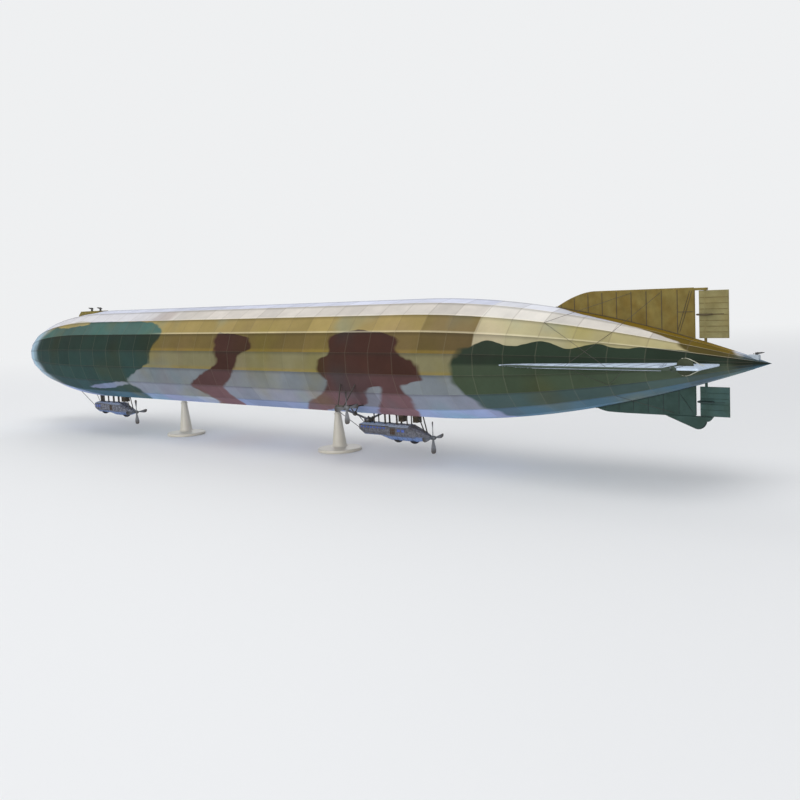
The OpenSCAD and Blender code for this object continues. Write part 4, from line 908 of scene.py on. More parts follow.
# Rudders and elevators: fabric over close ribs, on a round stock that turns in the hull and the fin's boom.
# Each pair is linked, so the two rudders swing together and so do the two elevators.
blade_half, blade_sag, blade_rib_pitch = 0.4, 0.06, 2.1
stock_radius, stock_depth, skid_pin, root_gap = 0.5, 2, 1, 0.6
blade_columns, blade_rows = 20, 80
blade_length = blade_rear - blade_front
rudder_foot = hull_r(fin_rear) + swing_gap
elevator_root = panel_share*hull_r(blade_front) + root_gap
boom_pin = swing_gap + boom_depth
ochre_rudder = sheet_paint("ochre_rudder", "#857e57", "#7a6e45", 0.7, 0.25)
green_rudder = sheet_paint("green_rudder", "#3f5653", "#384b43", 0.8, 0.25)
ochre_batten = painted("ochre_batten", "#6a5d3a", cloud=2, mottle=0.3, gloss=0.1)
green_batten = painted("green_batten", "#31443f", cloud=2, mottle=0.3, gloss=0.1)
ochre, green = (ochre_rudder, ochre_batten, "ochre_sheet"), (green_rudder, green_batten, "green_sheet")
pale = (pale_sheet, pale_rib, "pale_sheet")
blades = (("upper_rudder", rudder_foot, upper_height - boom_pin, boom_pin, upward, ochre),
          ("lower_rudder", rudder_foot, lower_depth - swing_gap, swing_gap + skid_pin, downward, green),
          ("port_elevator", elevator_root, side_span - boom_pin, boom_pin, to_port, pale),
          ("starboard_elevator", elevator_root, side_span - boom_pin, boom_pin, to_starboard, pale))
for name, foot, head, pin, place, (sheet, rib, slot) in blades:
    level = "elevator" in name

    def blade_thickness(t, w):
        over, along = (w - foot)/blade_rib_pitch, (t - blade_front)/blade_length
        return blade_half - blade_sag*math.sin(math.pi*over)**2*math.sin(math.pi*along)

    columns = [blade_front + blade_length*i/blade_columns for i in range(blade_columns + 1)]
    bench = bmesh.new()
    covering(bench, columns, lambda t: foot, lambda t: head, blade_thickness, place, blade_rows)
    parts = [finished(bench, sheet, 0, 35)]
    rim = [(blade_front, foot), (blade_front, head), (blade_rear, head), (blade_rear, foot)]
    parts.append(drawn([([place(t, w, 0) for t, w in rim], 0.3, True)], sheet))
    lines = []
    for d in (-blade_half, blade_half):
        for w in steps(foot + blade_rib_pitch, head - 0.5, blade_rib_pitch):
            lines.append(([place(blade_front, w, d), place(blade_rear, w, d)], 0.1))
    parts.append(drawn(lines, rib, 8))
    skin = (panel_share if level else 1)*hull_r(hinge)
    low = skin - stock_depth
    start, run = place(hinge, low, 0), head + pin - low
    bench = bmesh.new()
    turned(bench, [(0, 0.42), (0.1, stock_radius), (run - 0.08, stock_radius), (run, 0.4)], start,
           place(hinge, head, 0) - start, 24)
    parts.append(finished(bench, olive_edge if level else sheet))
    sleeve = [place(hinge, skin - 0.2, 0), place(hinge, foot - 0.2, 0)]
    parts.append(drawn([(sleeve, stock_radius + 0.01)], rib, 16))
    piece(name + "_blade", parts, name, slot, name)

# Control horns: half-discs on both faces of each rudder and elevator, round the stock, for control wires.
# The elevator horns are picked out in dark olive, with a pale control wire that arches over the horn.
horn_radius, horn_half = 3.2, 0.3
horn_olive = painted("horn_olive", "#343a26", cloud=2, mottle=0.35)
wire_pale = painted("wire_pale", "#b9b6a4", cloud=2, mottle=0.1, dryness=0.4, gloss=0.5)
sweep = [(-2.0, 0.5), (-1.9, 2.4), (-1.0, 3.0), (0.4, 3.12), (1.8, 2.8), (3.6, 2.0), (5.2, 1.2), (7.2, 0.5)]
half_turn = [math.radians(a) for a in range(0, 181, 6)]
for name, foot, head, _, place, (sheet, rib, slot) in blades:
    middle = (foot + head)/2
    level = "elevator" in name
    bench, lines = bmesh.new(), []
    for d in (-1, 1):
        rings = []
        for w, girth in ((-horn_half, 0.9), (-0.6*horn_half, 1.0), (0.6*horn_half, 1.0), (horn_half, 0.9)):
            along, out = girth*horn_radius, girth*(horn_radius - blade_half)
            rings.append([place(hinge + along*math.cos(a), middle + w, d*(blade_half + out*math.sin(a)))
                          for a in half_turn])
        solid(bench, rings)
        lines.append(([place(hinge + t, middle + 0.1, d*w) for t, w in sweep], 0.13))
    horn_finish = horn_olive if level else (ochre_rib if "upper" in name else green_rib)
    parts = [finished(bench, horn_finish, 0.05, 40), drawn(lines, wire_pale if level else horn_finish, 8)]
    piece(name + "_horn_pair", parts, name, "horn_olive" if level else slot, name + "_horns")

# Gondolas: hard-chined boats of plated framing, with a crowned roof, let-in windows and a cone at the tail.
# Each is moulded in a tub, a roof and a tail, and hung under the hull.
# They are painted in dappled grey; the blue under the chine is painted reflection from below.
half_width, eave = 3.2, -1
crown_share, keel_share, chine_share, shoulder_share = 0.7, 0.45, 0.3, 0.16
propeller_drop, tail_end, tail_steps = 5.2, 0.9, 8
seam_pitch, hoop_pitch = 3.1, 2.6
roof_grey = painted("roof_grey", "#9aa5b8", cloud=1.4, mottle=0.5, bump=0.3)
roof_trim = painted("roof_trim", "#4d4438", cloud=1.2, mottle=0.5)
window_blue = painted("window_blue", "#4a5fa8", cloud=1.2, mottle=0.6, dryness=0.2, gloss=0.6, bump=0.05)
frame_grey = painted("frame_grey", "#5d5f63", cloud=1.0, mottle=0.4)
door_dark = painted("door_dark", "#4a3a2e", cloud=1.0, mottle=0.5)
# Sections are (distance from the front, top, keel, share of the width).
# Windows and doors are (distance from the front, length, top, height).
gondolas = {
    "fwd": dict(
        drop=3.9, roof_end=31, joint=36.5, length=43.4, greys=("#45474f", "#868893"), trim=(5, 19),
        sections=[(0, 1.5, 4, 0.5), (2, 0.6, 5.7, 0.8), (5, 0, 6.5, 0.95), (18, 0, 6.5, 1), (24, 0, 7.6, 1),
                  (31, 0, 7.6, 1), (36.5, 2.5, 7.6, 0.8)],
        windows=[(1.2 + 2.7*i, 2.3, 1.5, 2.0) for i in range(3)], door=(20, 2.4, 1.4, 3.2)),
    "rear": dict(
        drop=4.4, roof_end=33, joint=37, length=44.2, greys=("#505155", "#70717a"), trim=(1, 21),
        sections=[(0, 1.6, 3.4, 0.5), (1.2, 0.6, 4.4, 0.8), (3.5, 0, 5.7, 0.95), (14, 0, 5.7, 1),
                  (21, 0, 7.5, 1), (33, 0, 7.5, 1), (37, 1.4, 7.5, 0.85)],
        windows=[(2.4 + 2.1*i, 1.5, 1.3, 1.0) for i in range(8)]
                + [(26 + 2.6*i, 2.2, 1.9, 1.4) for i in range(2)],
        door=(21.6, 3.4, 1.5, 3.2))}


def between(a, b, share):
    """A section part of the way from one to the next."""
    return tuple(p + (q - p)*share for p, q in zip(a, b))


def gondola_section(sections, x):
    """The section at a distance from the front, between those that are given."""
    for a, b in zip(sections, sections[1:]):
        if a[0] <= x <= b[0]:
            return between(a, b, (x - a[0])/(b[0] - a[0]))
    return sections[-1]


def boat_ring(section, spread=0.0):
    """Eight corners of a gondola section as (across, up)."""
    _, top, keel, share = section
    wide = share*half_width + spread
    shoulder, chine = -top - shoulder_share*(keel - top), -keel + chine_share*(keel - top)
    crown, bottom = -top + spread, -keel - spread
    return [(wide, chine), (wide, shoulder), (crown_share*wide, crown), (-crown_share*wide, crown),
            (-wide, shoulder), (-wide, chine), (-keel_share*wide, bottom), (keel_share*wide, bottom)]


def dappled_and_reflected(name, roof_z, dark, light):
    """Dappled grey plating, turned blue under the chine by a painted reflection from below."""
    def coat(tree):
        height = split(tree, "XYZ", spot_on(tree))[2]/MM - roof_z
        dapple, _ = noise(tree, 900, 3, 0.7)
        grey = mixed(tree, soft_step(dapple, 0.38, 0.62), colour(dark), colour(light))
        return mixed(tree, soft_step(dapple*1.2 + height, -4.2, -5.4), grey, colour("#7289b8"))
    return painted(name, coat, cloud=1.2, mottle=0.3, dryness=0.5, bump=0.35)


for prefix, g in gondolas.items():
    front, roof_z = box(prefix + "_gondola_tub")[0].x, axis_z - hull_radius - g["drop"]
    g.update(front=front, station=front - nose_x, roof_z=roof_z)
    sections, roof_end = g["sections"], g["roof_end"]
    grey = dappled_and_reflected(prefix + "_grey_and_reflection", roof_z, *g["greys"])

    def hung(x, y, z):
        return Vector((front + x, y, roof_z + z))

    def wall(x):
        return gondola_section(sections, x)[3]*half_width

    def let_in(side, proud, bead, x, length, top, tall):
        """Sets a pane or a door into a side wall, with a bead round it."""
        stops = [x] + [s[0] for s in sections if x < s[0] < x + length] + [x + length]
        corners = [(stop, -top) for stop in stops] + [(stop, -top - tall) for stop in reversed(stops)]
        solid(bench, [[hung(a, side*(wall(a) + lift), z) for a, z in corners] for lift in (-0.3, proud)])
        lines.append(([hung(a, side*(wall(a) + proud), z) for a, z in corners], bead, True))

    bench, lines = bmesh.new(), []
    solid(bench, [[hung(s[0], y, z) for y, z in boat_ring(s)] for s in sections])
    for side in (-1, 1):
        for corner, radius in ((0, 0.13), (1, 0.12)):
            edge = [(s[0], *boat_ring(s)[corner]) for s in sections]
            lines.append(([hung(x, side*y, z) for x, y, z in edge], radius))
        for x in steps(4, g["joint"] - 1, seam_pitch):
            ring = boat_ring(gondola_section(sections, x), 0.01)
            lines.append(([hung(x, side*ring[k][0], ring[k][1]) for k in (1, 0, 7)], 0.07))
    parts = [finished(bench, grey, 0.12), drawn(lines, frame_grey, 8)]
    piece(prefix + "_tub", parts, "airship", "gondola_grey", prefix + "_gondola_tub")

    bench, lines = bmesh.new(), []
    for window in g["windows"]:
        for side in (-1, 1):
            let_in(side, 0.03, 0.1, *window)
    if prefix == "fwd":
        corners = [(-1.15, -2.0), (1.15, -2.0), (1.15, -3.2), (-1.15, -3.2)]
        solid(bench, [[hung(x, y, z) for y, z in corners] for x in (-0.03, 0.3)])
        lines.append(([hung(-0.03, y, z) for y, z in corners], 0.1, True))
    parts = [finished(bench, window_blue), drawn(lines, frame_grey, 8)]
    piece(prefix + "_windows", parts, "airship", "window_blue", prefix + "_gondola_glazing")

    bench, lines = bmesh.new(), []
    x, length, top, tall = g["door"]
    for side in (-1, 1):
        let_in(side, 0.04, 0.12, *g["door"])
        fore, rear, head, foot = x + 0.45, x + length - 0.45, -top - 0.45, -top - 1.6
        corners = ((fore, head), (rear, head), (rear, foot), (fore, foot))
        lines.append(([hung(a, side*(wall(a) + 0.05), z) for a, z in corners], 0.06, True))
        turned(bench, [(0, 0.06), (0.14, 0.06), (0.15, 0.12), (0.26, 0.12), (0.3, 0.07)],
               hung(x + 0.4, side*wall(x), -top - 0.6*tall), (0, side, 0), 12)
    parts = [finished(bench, door_dark), drawn(lines, frame_grey, 8)]
    piece(prefix + "_doors", parts, "airship", "door_dark", prefix + "_gondola_door")

    rings, lines = [], []
    for x in [s[0] for s in sections if s[0] < roof_end] + [roof_end]:
        right, left = boat_ring(gondola_section(sections, x), 0.06)[2:4]
        low = min(eave, right[1] - 0.35)
        wide = wall(x) + 0.1
        rings.append([hung(x - 0.05, y, z) for y, z in (
            (-wide, low), (wide, low), (wide, low + 0.14), right, (0, right[1] + 0.12), left,
            (-wide, low + 0.14))])
    bench = bmesh.new()
    solid(bench, rings)
    for x in steps(3, roof_end, hoop_pitch):
        right, left = boat_ring(gondola_section(sections, x), 0.08)[2:4]
        wide = wall(x) + 0.1
        hoop = ((-wide, eave), left, (0, right[1] + 0.12), right, (wide, eave))
        lines.append(([hung(x, y, z) for y, z in hoop], 0.07))
    parts = [finished(bench, roof_grey, 0.05), drawn(lines, frame_grey, 8)]
    start, end = g["trim"]
    stops = [start] + [x for x in (2, 3.5, 5, 14, 18) if start < x < end] + [end]
    lines = [([hung(x, side*(wall(x) + 0.1), eave + 0.05) for x in stops], 0.17) for side in (-1, 1)]
    parts.append(drawn(lines, roof_trim, 8))
    piece(prefix + "_roof", parts, "airship", "roof_grey", prefix + "_gondola_roof")

    rings = []
    tip = (g["length"], 4.3, 6.1, tail_end/half_width)
    for i in range(tail_steps + 1):
        bulge = 0.35*math.sin(math.pi*i/tail_steps)
        x, top, keel, share = between(sections[-1], tip, i/tail_steps)
        swollen = boat_ring((x, top - 0.4*bulge, keel + 0.4*bulge, share + 0.12*bulge))
        rings.append([hung(x, y, z) for y, z in swollen])
    bench = bmesh.new()
    solid(bench, rings)
    turned(bench, [(-1.2, 0.44), (-1.2, 0.95), (-0.12, 0.95), (0, 0.85), (0, 0.44)],
           hung(g["length"], 0, -propeller_drop), aft, 28, True)
    cone = finished(bench, grey, 0.1)
    piece(prefix + "_tail", [cone], "airship", "gondola_grey", prefix + "_gondola_tail")

# Suspension struts: steel tubes in pairs from the roof frames to the hull's girders, and two to each cone.
# They are moulded rods, painted dark, with a small socket at each end.
strut_spread, thin_strut, thick_strut, strut_sink = 1.6, 0.29, 0.45, 0.6
strut_dark = painted("strut_dark", "#3f3934", cloud=1.5, mottle=0.35, dryness=0.5)
uprights = {"fwd": [(11.6, thick_strut), (17, thin_strut), (23, thick_strut), (29, thin_strut)],
            "rear": [(10.4, thin_strut), (17.5, thick_strut), (25, thick_strut), (31.4, thin_strut)]}
slants = {"fwd": (36.2, 40.5), "rear": (38.5, 42)}
for prefix, g in gondolas.items():
    def under_hull(x, y):
        return Vector((g["front"] + x, y, axis_z - hull_r(g["station"] + x) + strut_sink))

    bench, lines = bmesh.new(), []
    for side in (-1, 1):
        y = side*strut_spread
        for x, radius in uprights[prefix]:
            foot, head = Vector((g["front"] + x, y, g["roof_z"] - 0.1)), under_hull(x, y)
            lines.append(([foot, head], radius))
            socket = [(0, radius + 0.22), (0.28, radius + 0.22), (0.42, radius + 0.06)]
            turned(bench, socket, foot, up, 16)
            turned(bench, socket, head - 0.25*up, -up, 16)
        top, low = slants[prefix]
        foot = Vector((g["front"] + low, side*0.8*tail_end, g["roof_z"] - propeller_drop + 0.4))
        lines.append(([under_hull(top, y), foot], thin_strut))
    parts = [finished(bench, strut_dark), drawn(lines, strut_dark, 12)]
    piece(prefix + "_struts", parts, "airship", "strut_dark", prefix + "_gondola_struts")

# Ladder trunk: a faired tube of sheet metal round the ladder from the control cabin up into the hull.
# It has a flared foot on the roof and three hoops round it.
trunk_low, trunk_high = box("fwd_ladder_trunk")
trunk_half, trunk_mid = trunk_high.y, (trunk_low.x + trunk_high.x)/2
foot_flare = 1.14
trunk_dark = painted("trunk_dark", "#38332c", cloud=1.2, mottle=0.5)
capsule = []
for centre, start in ((trunk_high.x - trunk_half, -90), (trunk_low.x + trunk_half, 90)):
    for a in map(math.radians, range(start, start + 181, 15)):
        capsule.append((centre + trunk_half*math.cos(a), trunk_half*math.sin(a)))
rings = []
for z, flare in ((trunk_low.z - 0.1, foot_flare), (trunk_low.z + 0.3, foot_flare), (trunk_low.z + 0.45, 1.0),
                 (trunk_high.z - 0.6, 1.0), (trunk_high.z + 0.2, 1.0)):
    rings.append([Vector((trunk_mid + flare*(x - trunk_mid), flare*y, z)) for x, y in capsule])
bench = bmesh.new()
solid(bench, rings)
lines = []
for share in (0.3, 0.5, 0.7):
    z = trunk_low.z + share*(trunk_high.z - trunk_low.z)
    lines.append(([Vector((x, y, z)) for x, y in capsule], 0.08, True))
parts = [finished(bench, trunk_dark), drawn(lines, strut_dark, 6)]
piece("ladder_trunk", parts, "airship", "strut_dark", "fwd_ladder_trunk")

# Radiators: finned blocks hung under the hull over the engine rooms, with a header tank above the fins.
# The forward gondola has one and the rear gondola two, all in flat brown.
radiator_half, radiator_drop, radiator_fins = 1.7, 2.9, 9
core_inset = 0.35
radiator_brown = painted("radiator_brown", "#4c4335", cloud=0.9, mottle=0.6, bump=0.3)
for node, prefix, places in (("fwd_radiator", "fwd", [(31.4, 4.4)]),
                             ("rear_radiators", "rear", [(26, 2.8), (35, 2.8)])):
    parts = []
    for setback, length in places:
        fore = gondolas[prefix]["front"] + setback
        rear = fore + length
        foot = axis_z - hull_radius - radiator_drop
        head = axis_z - hull_r((fore + rear)/2 - nose_x)
        core_half = radiator_half - core_inset
        bench = bmesh.new()
        block(bench, (fore + 0.1, -core_half, foot + 0.3), (rear - 0.1, core_half, head + 0.5))
        block(bench, (fore, -radiator_half, foot), (rear, radiator_half, foot + 0.45))
        block(bench, (fore, -radiator_half, head - 0.55), (rear, radiator_half, head + 0.4))
        parts.append(finished(bench, radiator_brown, 0.06))
        parts.append(boards(radiator_brown, radiator_fins, length/radiator_fins, 0.5, 2*radiator_half - 0.1,
                            head - foot, fore, (head + foot)/2))
    piece(node + "_finned", parts, "airship", "radiator_brown", node)

# Bumper cushions: round air cushions under the gondolas that take the weight on landing, here hard domes.
# Each gondola has two on its keel, in rubber black.
bumper_radius, bumper_depth, bumper_rim = 2.3, 1.3, 0.12
bumper_black = painted("bumper_black", "#262628", cloud=1.5, mottle=0.35, dryness=0.55)
dome = (bumper_radius**2 + bumper_depth**2)/(2*bumper_depth)
profile = [(-0.2, 0.93*bumper_radius), (0, 0.98*bumper_radius), (bumper_rim, bumper_radius)]
for i in range(1, 9):
    depth = bumper_rim + (bumper_depth - bumper_rim)*math.sin(math.pi/2*i/8)
    profile.append((depth, max(0.02, math.sqrt(max(0.0, dome**2 - (dome - bumper_depth + depth)**2)))))
for prefix, places in (("fwd", [(9.8, 6.5), (33.6, 7.6)]), ("rear", [(24.2, 7.5), (34.4, 7.5)])):
    g = gondolas[prefix]
    bench = bmesh.new()
    for x, keel in places:
        turned(bench, profile, (g["front"] + x, 0, g["roof_z"] - keel), -up, 36)
    cushions = finished(bench, bumper_black)
    piece(prefix + "_cushions", [cushions], "airship", "bumper_black", prefix + "_bumpers")

# Propellers: four twisted paddle blades in a turned hub with a pointed boss, each on a steel shaft.
# The blades are painted grey, darker and browner towards the tips.
propeller_radius, blade_root, blade_width = 7.5, 0.6, 2.5
root_width, widest, hub_length = 0.9, 0.8, 1.8
root_pitch, tip_pitch = math.radians(55), math.radians(20)
blade_stations, blade_points = 15, 16
hub_profile = [(0, 0.42), (0, 0.88), (0.12, 1), (0.45, 1), (0.5, 0.92), (1.3, 0.92), (1.35, 1),
               (hub_length, 1), (2.1, 0.86), (2.4, 0.62), (2.62, 0.42), (2.7, 0.2), (2.7, 0.02),
               (1.3, 0.02), (1.26, 0.42)]
shaft_profile = [(-4.45, 0.3), (-4.35, 0.4), (-0.3, 0.4), (-0.28, 0.56), (-0.1, 0.56), (-0.08, 0.4),
                 (1.08, 0.4)]


def propeller_paint(hub):
    """Blade grey that turns brown towards the tips, measured from the hub."""
    def coat(tree):
        apart = add(tree, "ShaderNodeVectorMath", {0: spot_on(tree), 1: hub*MM}, operation="SUBTRACT")
        _, y, z = split(tree, "XYZ", apart.outputs[0])
        far = (y*y + z*z).to("SQRT")/(propeller_radius*MM)
        return ramp(tree, far, [(0.0, "#43423f"), (0.16, "#6f7174"), (0.6, "#7b7c7f"), (0.95, "#57514a")])
    return coat


def blade_ring(u, hand):
    """The section of a blade at a share u of its reach, for a right or left hand."""
    pitch = root_pitch + u*(tip_pitch - root_pitch)
    chord = root_width + (blade_width - root_width)*math.sin(math.pi/2*min(1, u/widest))**2
    if u > widest:
        chord *= math.sqrt(max(0.02, 1 - 0.75*((u - widest)/(1 - widest))**3))
    thick = 0.22 - 0.1*u
    ring = []
    for k in range(blade_points):
        a = 2*math.pi*k/blade_points
        across, through = 0.5*chord*math.cos(a), thick*math.sin(a)*(1 + 0.3*math.cos(a))
        ring.append(Vector((hub_length/2 - across*math.sin(pitch) - through*math.cos(pitch),
                            hand*(across*math.cos(pitch) - through*math.sin(pitch)),
                            blade_root + u*(propeller_radius - blade_root))))
    return ring


shaft_steel = painted("shaft_steel", "#77757a", cloud=1.0, mottle=0.2, dryness=0.32, gloss=0.5, metal=0.8)
ring_tree, given = new_tree("blade_ring", {"Blades": 4, "Hub X": 0.0, "Hub Y": 0.0, "Hub Z": 0.0})
spindle = add(ring_tree, "GeometryNodePoints", {
    "Count": given["Blades"], "Position": placed(ring_tree, given["Hub X"], given["Hub Y"], given["Hub Z"])})
index = Sum(ring_tree, add(ring_tree, "GeometryNodeInputIndex").outputs[0])
ring = add(ring_tree, "GeometryNodeInstanceOnPoints", {
    "Points": spindle.outputs["Points"], "Instance": given["Geometry"],
    "Rotation": placed(ring_tree, index*(2*math.pi/given["Blades"]))})
end_tree(ring_tree, given, ring.outputs["Instances"])
for propeller in ("fwd_propeller", "rear_propeller", "port_propeller", "starboard_propeller"):
    hub = pivots[propeller]
    hand = -1 if propeller == "starboard_propeller" else 1
    paint = painted(propeller + "_grey", propeller_paint(hub), cloud=1.5, dryness=0.42, gloss=0.45)
    bench = bmesh.new()
    solid(bench, [blade_ring(i/(blade_stations - 1), hand) for i in range(blade_stations)])
    sizes = {"Hub " + axis: value*MM for axis, value in zip("XYZ", hub)}
    blade_set = outward(grown(ring_tree, paint, sizes, finished(bench, paint)), 40)
    bench = bmesh.new()
    turned(bench, hub_profile, hub, aft, 32, True)
    parts = [blade_set, finished(bench, paint, 0, 25)]
    piece(propeller + "_set", parts, propeller, "propeller_grey", propeller)
    bench = bmesh.new()
    turned(bench, shaft_profile, hub, aft, 24)
    shaft = finished(bench, shaft_steel)
    piece(propeller + "_steel", [shaft], propeller, "shaft_steel", propeller + "_shaft")

# Outrigger drive: a gear tower on the rear gondola, slanting shafts in collars, and a housing on each side.
# Tower, collars and housings are cast metal on tube legs; all are dark, and the shafts show bare steel.
tower_low, tower_high = box("gear_tower")
tower_mid = (tower_low + tower_high)/2
tower_roof, tower_inset, post_width = tower_high.z - 0.5, 0.15, 0.58
drive_point = Vector((tower_mid.x, 0, tower_low.z + 1.21))
drive_start, drive_radius = 1.62, 0.5
cast_dark = painted("cast_dark", "#45413a", cloud=1.0, mottle=0.5, dryness=0.5, gloss=0.4)
bench = bmesh.new()
block(bench, (tower_low.x + tower_inset, tower_low.y + tower_inset, tower_low.z - 0.1),
      (tower_high.x - tower_inset, tower_high.y - tower_inset, tower_roof - 0.3))
for low, high in ((tower_roof - 0.35, tower_roof), (tower_low.z - 0.1, tower_low.z + 0.3)):
    block(bench, (tower_low.x, tower_low.y, low), (tower_high.x, tower_high.y, high))
for x in (tower_low.x, tower_high.x - post_width):
    for y in (tower_low.y, tower_high.y - post_width):
        block(bench, (x, y, tower_low.z), (x + post_width, y + post_width, tower_high.z))
for side in (-1, 1):
    turned(bench, [(1.3, 0.8), (drive_start, 0.8), (1.72, 0.7)], drive_point, (0, side, 0), 24)
piece("bevel_tower", [finished(bench, cast_dark, 0.05)], "airship", "strut_dark", "gear_tower")

housing_length, housing_radius, housing_cap, leg_sink = 5, 1.1, 0.8, 0.3
housing_front = -housing_length - housing_cap
housing_waist, housing_bore = 0.9*housing_radius, 0.46
housing_profile = [(housing_front, 0.5*housing_radius), (-housing_length, 0.98*housing_radius),
                   (0.5 - housing_length, housing_radius), (0.55 - housing_length, housing_waist),
                   (-0.7, housing_waist), (-0.65, housing_radius), (-0.1, housing_radius),
                   (0, 0.92*housing_radius), (0, housing_bore), (-4.2, housing_bore), (-4.22, 0.02),
                   (housing_front, 0.02)]
collar_profile = [(-0.7, 0.54), (-0.7, 0.94), (-0.6, 1), (-0.2, 1), (-0.15, 0.86), (0.15, 0.86), (0.2, 1),
                  (0.6, 1), (0.7, 0.94), (0.7, 0.54)]
collars = []
for side, half in ((-1, "port"), (1, "starboard")):
    hub = pivots[half + "_propeller"]
    rear = hub - 0.4*aft
    bench, lines = bmesh.new(), []
    turned(bench, housing_profile, rear, aft, 32, True)
    for setback, splays in ((housing_length - housing_cap, (-4, -2)), (housing_cap, (2, 0))):
        head = rear - setback*aft
        for splay, degrees in zip(splays, (112, 140)):
            foot = skin_place(head.x - nose_x + splay, math.radians(degrees), side, -leg_sink)
            lines.append(([head, foot], thin_strut))
    parts = [finished(bench, cast_dark), drawn(lines, strut_dark, 12)]
    piece(half + "_outrigger_frame", parts, "airship", "strut_dark", half + "_outrigger")

    housing_point = rear - housing_length/2*aft
    slant = (housing_point - drive_point).normalized()
    start = drive_point + slant*(drive_start/abs(slant.y))
    end = housing_point - slant*(0.98*housing_radius/abs(slant.y))
    run = (end - start).length
    bench = bmesh.new()
    turned(bench, [(0, 0.42), (0.1, 0.72), (0.5, 0.72), (0.55, drive_radius), (run - 0.55, drive_radius),
                   (run - 0.5, 0.72), (run - 0.1, 0.72), (run, 0.42)], start, slant, 24)
    shaft = finished(bench, shaft_steel)
    piece(half + "_drive", [shaft], "airship", "shaft_steel", half + "_drive_shaft")

    middle = (start + end)/2
    bench, lines = bmesh.new(), []
    turned(bench, collar_profile, middle, slant, 28, True)
    for splay in (-3.2, 3.2):
        foot = skin_place(middle.x - nose_x + splay, math.radians(142), side, -leg_sink)
        lines.append(([middle + (foot - middle).normalized()*0.85, foot], thin_strut))
    collars += [finished(bench, cast_dark), drawn(lines, strut_dark, 12)]
piece("collars_and_legs", collars, "airship", "strut_dark", "shaft_supports")

# Stay wires: stretched wires from the hull down to the front of each gondola, a pair on each.
# Finer ones brace the tail, from the girders at two main rings to the fins, the same on both sides.
wire_radius, wire_rake, wire_spread, wire_setback = 0.18, 10, 5, 1.6
brace_radius, brace_inset = 0.07, 0.6
wire_grey = painted("wire_grey", "#6b6862", cloud=2, mottle=0.1, dryness=0.4, gloss=0.5)
lines, braces = [], []
for g in gondolas.values():
    half = gondola_section(g["sections"], wire_setback)[3]*half_width
    t = g["station"] - wire_rake
    head_z = axis_z - panel_share*hull_r(t) + 0.2
    for side in (-1, 1):
        foot = Vector((g["front"] + wire_setback, side*half, g["roof_z"] - 2.6))
        lines.append(([foot, Vector((nose_x + t, side*wire_spread, head_z))], wire_radius))
for side, across in ((-1, to_port), (1, to_starboard)):
    for bay, degrees, place, t, reach in (
            (30, 40, upward, 457.5, upper_height), (32, 40, upward, 469, upper_height),
            (30, 40, across, 460, side_span), (32, 40, across, 441, side_span),
            (32, 120, across, 442, side_span), (32, 120, across, 467, side_span),
            (32, 140, downward, 474, lower_depth)):
        anchor = skin_place(bay*bay_length, math.radians(degrees), side)
        braces.append(([anchor, place(t, reach - brace_inset, 0)], brace_radius))
parts = [drawn(lines, wire_grey, 8), drawn(braces, strut_dark, 8)]
piece("stays", parts, "airship", "shaft_steel", "stay_wires")

# Stands: a round weighted base, a tapering post and a peg that plugs into the hull, turned in one piece.
# Two of them carry the model; they are satin moulded plastic, ivory grey.
stand_height = axis_z - hull_radius
base_round, cove_height, cove_depth, post_radius = 0.4, 3.0, 0.9, 3.3
stand_ivory = painted("stand_ivory", "#c9c3b4", cloud=9, mottle=0.07, dryness=0.38, gloss=0.5, bump=0.05)
for stand in ("front_stand", "rear_stand"):
    low, high = box(stand)
    rim, tall = high.y, high.z - low.z
    profile = [(0, rim - 0.4), (0.15, rim - 0.1), (0.35, rim)]
    for a in (i*math.pi/10 for i in range(6)):
        profile.append((1.2 + base_round*math.sin(a), rim - base_round + base_round*math.cos(a)))
    profile += [(1.9, 0.62*rim), (2.2, 0.42*rim)]
    for a in (i*math.pi/12 for i in range(7)):
        profile.append((2.3 + cove_height*(1 - math.cos(a)), post_radius + cove_depth*(1 - math.sin(a))))
    profile += [(stand_height - drop, radius) for drop, radius in (
        (2.2, 1.72), (1.6, 1.7), (1.5, 1.95), (1.0, 1.95), (0.9, 1.5), (0.06, 1.5), (0.06, 1))]
    profile += [(tall - 0.3, 1), (tall, 0.75)]
    bench = bmesh.new()
    turned(bench, profile, ((low.x + high.x)/2, 0, low.z), up, 96)
    piece(stand + "_turned", [finished(bench, stand_ivory, 0, 25)], "airship", "stand_ivory", stand)

# Studio: a pale floor under the model, a pale surround, and soft lamps above and to the sides.
# The floor melts into the surround, and the camera stands off the port quarter, just above the crest.
# Sizes in the studio are in metres.
backdrop = (0.86, 0.87, 0.88, 1)
floor_reach, melt_start, melt_end = 12, 0.3, 1.1
floor_mesh = bpy.data.meshes.new("floor")
bench = bmesh.new()
bmesh.ops.create_circle(bench, cap_ends=True, segments=64, radius=floor_reach)
bench.to_mesh(floor_mesh)
bench.free()
floor = bpy.data.objects.new("floor", floor_mesh)
bpy.context.scene.collection.objects.link(floor)
floor_paint = bpy.data.materials.new("pale_floor")
floor_paint.use_nodes = True
tree = floor_paint.node_tree
floor_shader = tree.nodes["Principled BSDF"]
fill(tree, floor_shader, {"Base Color": (0.82, 0.82, 0.81, 1), "Roughness": 0.7})
away = Sum(tree, add(tree, "ShaderNodeVectorMath", {0: spot_on(tree)}, operation="LENGTH").outputs["Value"])
melt = soft_step(away, melt_start, melt_end)*add(tree, "ShaderNodeLightPath").outputs["Is Camera Ray"]
glow = add(tree, "ShaderNodeEmission", {"Color": backdrop, "Strength": 1.0})
blend = add(tree, "ShaderNodeMixShader", {0: melt, 1: floor_shader.outputs[0], 2: glow.outputs[0]})
fill(tree, tree.nodes["Material Output"], {"Surface": blend.outputs[0]})
floor_mesh.materials.append(floor_paint)

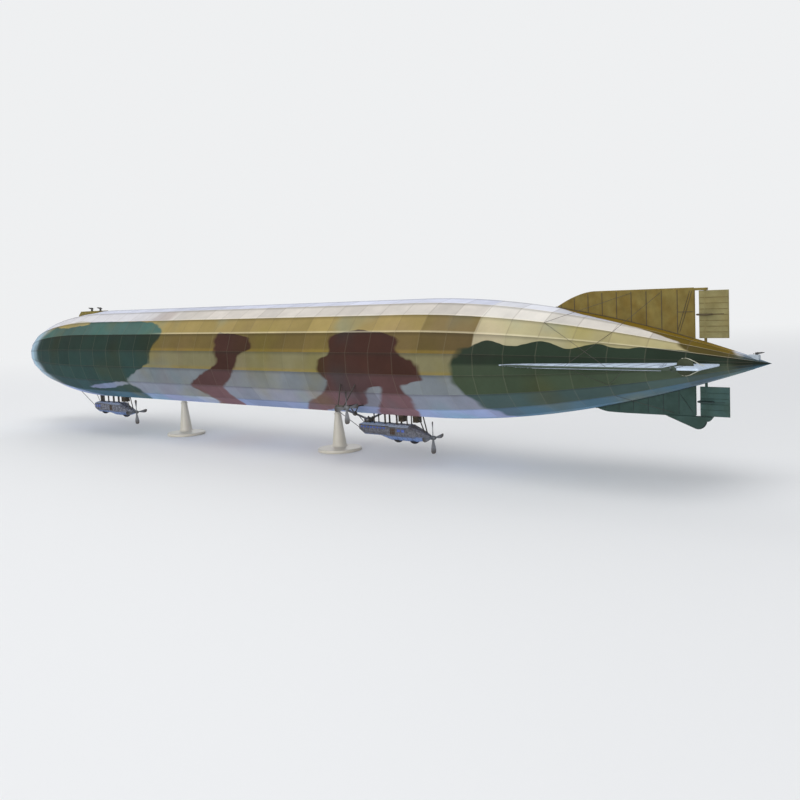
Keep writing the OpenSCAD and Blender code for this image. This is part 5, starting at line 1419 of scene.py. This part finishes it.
world = bpy.data.worlds.new("studio")
bpy.context.scene.world = world
world.use_nodes = True
tree = world.node_tree
rays = add(tree, "ShaderNodeLightPath").outputs
looked_at = Sum(tree, rays["Is Camera Ray"]) + rays["Is Glossy Ray"] + rays["Is Transmission Ray"]
soft = add(tree, "ShaderNodeBackground", {"Color": (0.9, 0.93, 1.0, 1), "Strength": 0.55})
shown = add(tree, "ShaderNodeBackground", {"Color": backdrop, "Strength": 1.0})
blend = add(tree, "ShaderNodeMixShader", {
    0: looked_at.to("MINIMUM", 1), 1: soft.outputs[0], 2: shown.outputs[0]})
fill(tree, tree.nodes["World Output"], {"Surface": blend.outputs[0]})

aim = Vector((0, 0, axis_z*MM))
for name, place, energy, spread in (
        ("top_lamp", (0.15, -0.35, 1.3), 7.0, 1.2), ("near_lamp", (0.9, -1.1, 0.55), 3.0, 0.9),
        ("low_lamp", (0.1, -1.2, 0.2), 4.0, 0.4), ("far_lamp", (-1.1, 0.8, 0.9), 4.0, 1.0)):
    lamp = bpy.data.lights.new(name, "AREA")
    lamp.energy = energy
    lamp.size = spread
    holder = bpy.data.objects.new(name, lamp)
    holder.location = place
    holder.rotation_euler = (aim - Vector(place)).to_track_quat("-Z", "Y").to_euler()
    bpy.context.scene.collection.objects.link(holder)

camera = bpy.data.cameras.new("camera")
camera.lens = 43.96
camera.sensor_width = 36
viewer = bpy.data.objects.new("camera", camera)
stance = Matrix.Translation((0.38463, -0.34193, 0.08091))
yaw, pitch, roll = (math.radians(a) for a in (-41.77, -6.68, -2.91))
ahead = Vector((math.sin(yaw)*math.cos(pitch), math.cos(yaw)*math.cos(pitch), math.sin(pitch)))
level = Vector((math.cos(yaw), -math.sin(yaw), 0))
upright = level.cross(ahead)
right = level*math.cos(roll) + upright*math.sin(roll)
above = upright*math.cos(roll) - level*math.sin(roll)
viewer.matrix_world = stance @ Matrix((right, above, -ahead)).transposed().to_4x4()
bpy.context.scene.collection.objects.link(viewer)
bpy.context.scene.camera = viewer
bpy.context.scene.view_settings.view_transform = "Standard"
